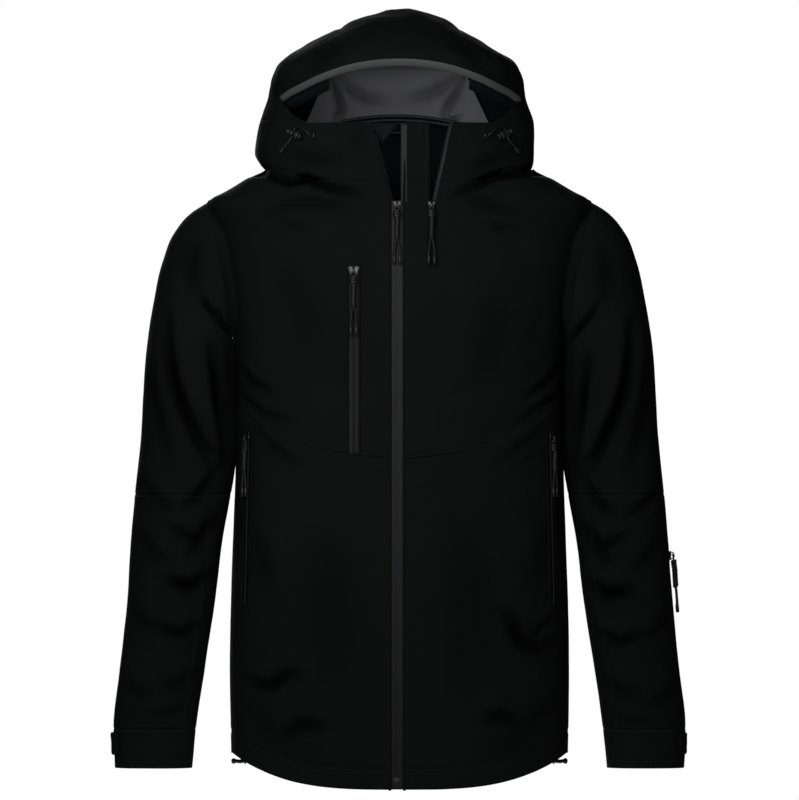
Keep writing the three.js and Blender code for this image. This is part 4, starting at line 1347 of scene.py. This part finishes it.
def makeCuffTabs():
    first, last, low, tall = (cuffTab[key] for key in ("front", "back", "low", "tall"))
    for wearer, side in wearers.items():
        a = np.linspace(first, last, 52)
        v = np.linspace(0, 1, 15)
        angle, share = np.meshgrid(a, v)
        corner = .077 * np.clip((np.abs(share - .5) - .25) / .25, 0, 1) ** 2
        squeeze = np.clip((angle - a[0]) / (a[-1] - a[0]), 0, 1)
        z = low + share * tall
        angle = np.where(squeeze < .06, angle + corner, angle)
        edge = np.clip(np.minimum(share, 1 - share) / .08, 0, 1)
        lift = .0014 + .0009 * edge + .0005 * drift(np.stack([angle, share, angle * 0 + side], -1), .16)
        grid = sleeveOut(angle, z, side, lift)
        sheetPiece(f"cuff_tab_cloth_{wearer}", grid, shellCloth, .0014, f"cuff_tab_{wearer}", "shell",
                   f"cuff_tab_{wearer}")
        turns = np.linspace(first + cuffTab["seamIn"], last - .04, 48)
        line = [(t, low + .0027) for t in turns] + [(t, low + tall - .0027) for t in turns[::-1]]
        path = np.array(line + line[:1])
        seam = sleeveOut(path[:, 0], path[:, 1], side, np.full(len(path), .0024))
        solidPiece(f"cuff_tab_stitches_{wearer}", dashes(toRow(seam)), stitchThread, f"cuff_tab_{wearer}",
                   "shell")
        turn, share = np.meshgrid(np.linspace(-.40, .30, 16), np.linspace(0, 1, 6))
        under = sleeveOut(turn, .049 + share * .018, side, np.full(turn.shape, .0007))
        sheetPiece(f"cuff_patch_{wearer}", under, darkTapeCloth, .0006, f"{wearer}_sleeve", "shell")


stitch = {"length": .0026, "gap": .0011, "radius": .00028}


def dashes(path):
    length, radius = stitch["length"], stitch["radius"]
    starts = np.arange(0, runAlong(path)[-1] - length, length + stitch["gap"])
    return [tubeAlong(pointsAt(path, np.linspace(start, start + length, 4)),
                      [.4 * radius, radius, radius, .4 * radius], 5) for start in starts]


def makeSleeveStitches():
    for wearer, side in wearers.items():
        parts = []
        for z in (elbowSeam + .0032, elbowSeam - .0032, cuffSeam + .0030, cuffSeam - .0030, .0315, .0360):
            a = np.linspace(-math.pi, math.pi, 130)
            parts += dashes(toRow(sleeveOut(a, z + 0 * a, side, .0001 + 0 * a)))
        z = np.linspace(.080, .369, 90)
        for turn in (2.34, 2.28):
            parts += dashes(toRow(sleeveOut(-turn + 0 * z, z, side, .0001 + 0 * z)))
        solidPiece(f"sleeve_stitches_{wearer}", parts, stitchThread, f"{wearer}_sleeve", "shell")


def makeBodyStitches():
    parts = []
    for side in (-1, 1):
        x = side * np.linspace(.0065 if side > 0 else .012, .190, 80)
        parts += dashes(toRow(liftedFront(x, chestSeamHeight(x) + .0030, .0001 + 0 * x)))
        for up in (.020, .0245):
            x = side * np.linspace(.010, .196, 90)
            parts += dashes(toRow(liftedFront(x, hemHeight(x) + up, .0001 + 0 * x)))
        z = np.linspace(.026, .735, 240)
        parts += dashes(toRow(liftedFront(mainZip["middle"] + side * (mainZip["half"] + .0052) + 0 * z, z,
                                          .0001 + 0 * z)))
        x = side * np.linspace(.101, .226, 60)
        parts += dashes(toRow(liftedFront(x, .7372 + 0 * x, .0001 + 0 * x)))
    solidPiece("body_stitches", parts, stitchThread, "jacket_shell", "shell")


hemGripIn = .0085  # the cord ends sit this much further in than the plain solids


def makeHemGrips():
    for wearer, side in wearers.items():
        centre = np.mean(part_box(f"hem_grip_{wearer}"), axis=0)
        reach = abs(centre[0]) - hemGripIn
        x = side * (reach + np.array([-.0105, -.006, -.001, .0035, .0075, .0095]))
        z = centre[2] + np.array([.0035, .0015, -.0004, -.0010, -.0006, .0002])
        y = centre[1] + 0 * x
        stem = tubeAlong(np.stack([x, y, z], -1), [.0026, .0030, .0027, .0024, .0024, .0024], 10)
        x = side * (reach + np.array([.0082, .0088, .0100, .0118, .0130, .0136]))
        line = np.stack([x, y, centre[2] - .0004 + 0 * x], -1)
        ball = tubeAlong(line, [.0014, .0030, .0037, .0036, .0026, .0008], 12)
        loop = [(centre[0] + side * (u - hemGripIn), centre[1] + v, centre[2] + w) for u, v, w in
                ((-.008, -.0065, .0045), (-.006, -.0050, .0005), (-.004, 0, -.0030), (-.006, .0050, .0005),
                 (-.008, .0065, .0045))]
        solidPiece(f"hem_cord_end_{wearer}", [stem, ball, tubeAlong(loop, .0014, 8)], lockPlastic,
                   "jacket_shell", "black_plastic", f"hem_grip_{wearer}")


def makeHangerLoop():
    low, high = (np.array(v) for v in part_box("hanger_loop"))
    half, middle = (high[0] - low[0]) / 2, (low[1] + high[1]) / 2
    t = np.array([(-half + .0025, low[2]), (-half + .0025, high[2] - .004),
                  (-half + .0040, high[2] - .0018), (-half + .008, high[2] - .0010),
                  (half - .008, high[2] - .0010), (half - .0040, high[2] - .0018),
                  (half - .0025, high[2] - .004), (half - .0025, low[2])])
    at = np.linspace(0, runAlong(t)[-1], 60)
    x, z = pointsAt(t, at).T
    grid = np.stack([np.stack([x, middle + w + 0 * x, z + .0002 * np.sin(at * 3000 + w * 900)], -1)
                     for w in np.linspace(-.003, .003, 7)])
    sheetPiece("hanger_loop_webbing", fromRow(grid), loopWebbing, .0016, "jacket_shell", "webbing",
               "hanger_loop")


def makeInnerLayers():
    for node, name in (("storm_flap", "storm_flap_cloth"), ("chest_pocket_bag", "chest_pocket_cloth"),
                       ("hand_pocket_bag_left", "hand_pocket_cloth_left"),
                       ("hand_pocket_bag_right", "hand_pocket_cloth_right")):
        low, high = (fromRow(v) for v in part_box(node))
        v = np.linspace(low[2], high[2], 60)
        u = np.linspace(low[0], high[0], 20)
        x, z = np.meshgrid(u, v)
        rounding = 0 if node == "storm_flap" else .012
        corner = np.clip(1 - np.minimum(z - low[2], high[2] - z) / .03, 0, 1) ** 2 * rounding
        centre = (low[0] + high[0]) / 2
        x = centre + (x - centre) * (1 - corner / max(high[0] - low[0], .03))
        grid = liftedFront(x, z, -.0034 - .0008 * np.sin(x * 90) * np.sin(z * 40))
        sheetPiece(name, grid, facingCloth, .0008, "jacket_shell",
                   "shell" if node == "storm_flap" else "lining", node)


cordRoute = [  # millimetres across, up and out from the lock, for the wearer's left
    (-20, 7, 1.6), (-19.6, 7.2, 3.4), (-18, 7.8, 4.9), (-15, 8.8, 5.6), (-11, 9.9, 5.7), (-7, 10.8, 5.6),
    (-3, 11.2, 5.5), (.6, 10.6, 5.4), (3, 8.6, 5.3), (4, 5.8, 5.3), (4, 2, 5.3), (4, -2, 5.3), (4, -6, 5.3),
    (4.3, -10, 5.4), (5.4, -14, 5.6), (6.8, -17.5, 5.7), (8, -21, 5.7)]
hoodLock = {  # turned shapes as (along, radius)
    "rise": .0053,
    "stopper": [(-.0040, .0010), (-.0037, .0020), (-.0030, .0024), (-.0010, .0026), (.0010, .0023),
                (.0022, .0025), (.0036, .0024), (.0041, .0012)],
    "barrel": [(-.0100, .0018), (-.0098, .0036), (-.0090, .0043), (-.0060, .0045), (-.0056, .0041),
               (-.0050, .0041), (-.0046, .0045), (.0020, .0045), (.0024, .0041), (.0032, .0041),
               (.0036, .0045), (.0070, .0044), (.0080, .0038), (.0080, .0034), (.0045, .0033)],
    "knob": [(.0083, .0029), (.0100, .0029), (.0104, .0024), (.0110, .0024), (.0114, .0029),
             (.0119, .0026), (.0120, .0018)],
    "eyelet": [(0, .0021), (.0004, .0020), (.0012, .0026), (.0013, .0033), (.0009, .0040), (0, .0042)],
}


def lockPlace(side):
    at, across, up, out = zipPlace("hood", .800, .838, .822, x=side * .128)
    a = math.radians(25) * side
    return at, math.cos(a) * across + math.sin(a) * up, -math.sin(a) * across + math.cos(a) * up, out


def curveThrough(points, steps=8):
    p = np.asarray(points, float)
    p = np.concatenate([2 * p[:1] - p[1:2], p, 2 * p[-1:] - p[-2:-1]])
    out = []
    for k in range(1, len(p) - 2):
        t = np.linspace(0, 1, steps, endpoint=False)[:, None]
        square = (2 * p[k - 1] - 5 * p[k] + 4 * p[k + 1] - p[k + 2]) * t ** 2
        cube = (3 * p[k] - p[k - 1] - 3 * p[k + 1] + p[k + 2]) * t ** 3
        out.append(.5 * (2 * p[k] + (p[k + 1] - p[k - 1]) * t + square + cube))
    return np.concatenate(out + [p[-2:-1]])


def lathe(profile, centre, sides=24):
    line = np.array([(x, centre[1], centre[2]) for x, _ in profile])
    line[:, 0] += centre[0]
    a = np.arange(sides) * 2 * math.pi / sides
    rings = np.concatenate([np.stack([np.full(sides, c[0]), c[1] + r * np.cos(a), c[2] + r * np.sin(a)], -1)
                            for c, (_, r) in zip(line, profile)])
    return rings, ringFaces(len(profile), sides)


def makeHoodCords():
    for wearer, side in wearers.items():
        place = lockPlace(side)
        corners = np.array([(side * x, y, z) for x, y, z in cordRoute]) * .001
        path = curveThrough(corners)
        points, faces = tubeAlong(path, .0013, 12)
        run = np.repeat(np.arange(len(path)), 12)
        turn = np.tile(np.arange(12), len(path))
        braid = 1 + .05 * np.sin(run * 2.1 + turn * math.pi / 3) * np.sin(run * 2.1 - turn * math.pi / 3)
        core = np.repeat(path, 12, axis=0)
        points = core + (points - core) * braid[:, None]
        cord = solidPiece(f"hood_cord_{wearer}", [(inPlace(points, place), faces)], pullBraid,
                          "jacket_shell", "cord", f"hood_drawcord_{wearer}")
        end = corners[-1]
        rings, caps = lathe(hoodLock["stopper"], (0, 0, 0))
        lean = side * .3
        turned = np.stack([rings[:, 1], rings[:, 0], rings[:, 2]], -1)
        turned = np.stack([turned[:, 0] * math.cos(lean) - turned[:, 1] * math.sin(lean),
                           turned[:, 0] * math.sin(lean) + turned[:, 1] * math.cos(lean), turned[:, 2]], -1)
        turned = turned + (end[0] + side * .0014, end[1] - .0045, end[2])
        stop = solidPiece(f"hood_cord_stopper_{wearer}", [(inPlace(turned, place), caps)], lockPlastic,
                          "jacket_shell", "black_plastic", f"hood_drawcord_stopper_{wearer}")
        centre = (0, 0, hoodLock["rise"])
        ribs = [tubeAlong([(side * x, .0044 * math.cos(b), centre[2] + .0044 * math.sin(b))
                           for x in (-.0044, -.002, .0018)], .0005, 6)
                for b in np.linspace(0, 2 * math.pi, 12, endpoint=False)]
        rings, caps = lathe([(side * x, r) for x, r in hoodLock["barrel"]], centre)
        solidPiece(f"hood_lock_barrel_{wearer}", placeParts([(rings, caps)] + ribs, place, 0), lockPlastic,
                   "jacket_shell", "black_plastic", f"hood_lock_{wearer}")
        rings, caps = lathe([(side * x, r) for x, r in hoodLock["knob"]], centre)
        solidPiece(f"hood_lock_knob_{wearer}", placeParts([(rings, caps)], place, 0), buttonPlastic,
                   f"hood_{wearer}_button", "grey_plastic", f"hood_lock_button_{wearer}")
        rings, caps = lathe(hoodLock["eyelet"], (0, 0, 0))
        flat = np.stack([rings[:, 1] + side * cordRoute[0][0] * .001, rings[:, 2] + cordRoute[0][1] * .001,
                         rings[:, 0] + .0006], -1)
        solidPiece(f"hood_cord_eyelet_{wearer}", [(inPlace(flat, place), caps[:-2])], sliderMetal,
                   "jacket_shell", "dark_metal", f"hood_eyelet_{wearer}")


print("materials made")
studio()
print("camera and lights set")
makeHoodCords()
print("hood cords made")
makeBody()
print("body panels made")
makeSleeves()
makeShoulderCaps()
print("sleeves made")
makeHood()
makeLining()
makeBrim()
makeNeckTape()
print("collar and hood made")
makeFrontTapes()
print("front tapes made")
makeZipHardware()
print("sliders and pulls made")
makePocketZips()
print("pocket zips made")
makeCuffTabs()
makeSleeveStitches()
makeBodyStitches()
makeHemGrips()
makeHangerLoop()
makeInnerLayers()
print("tabs, stitches, grips, loop and inner layers made")
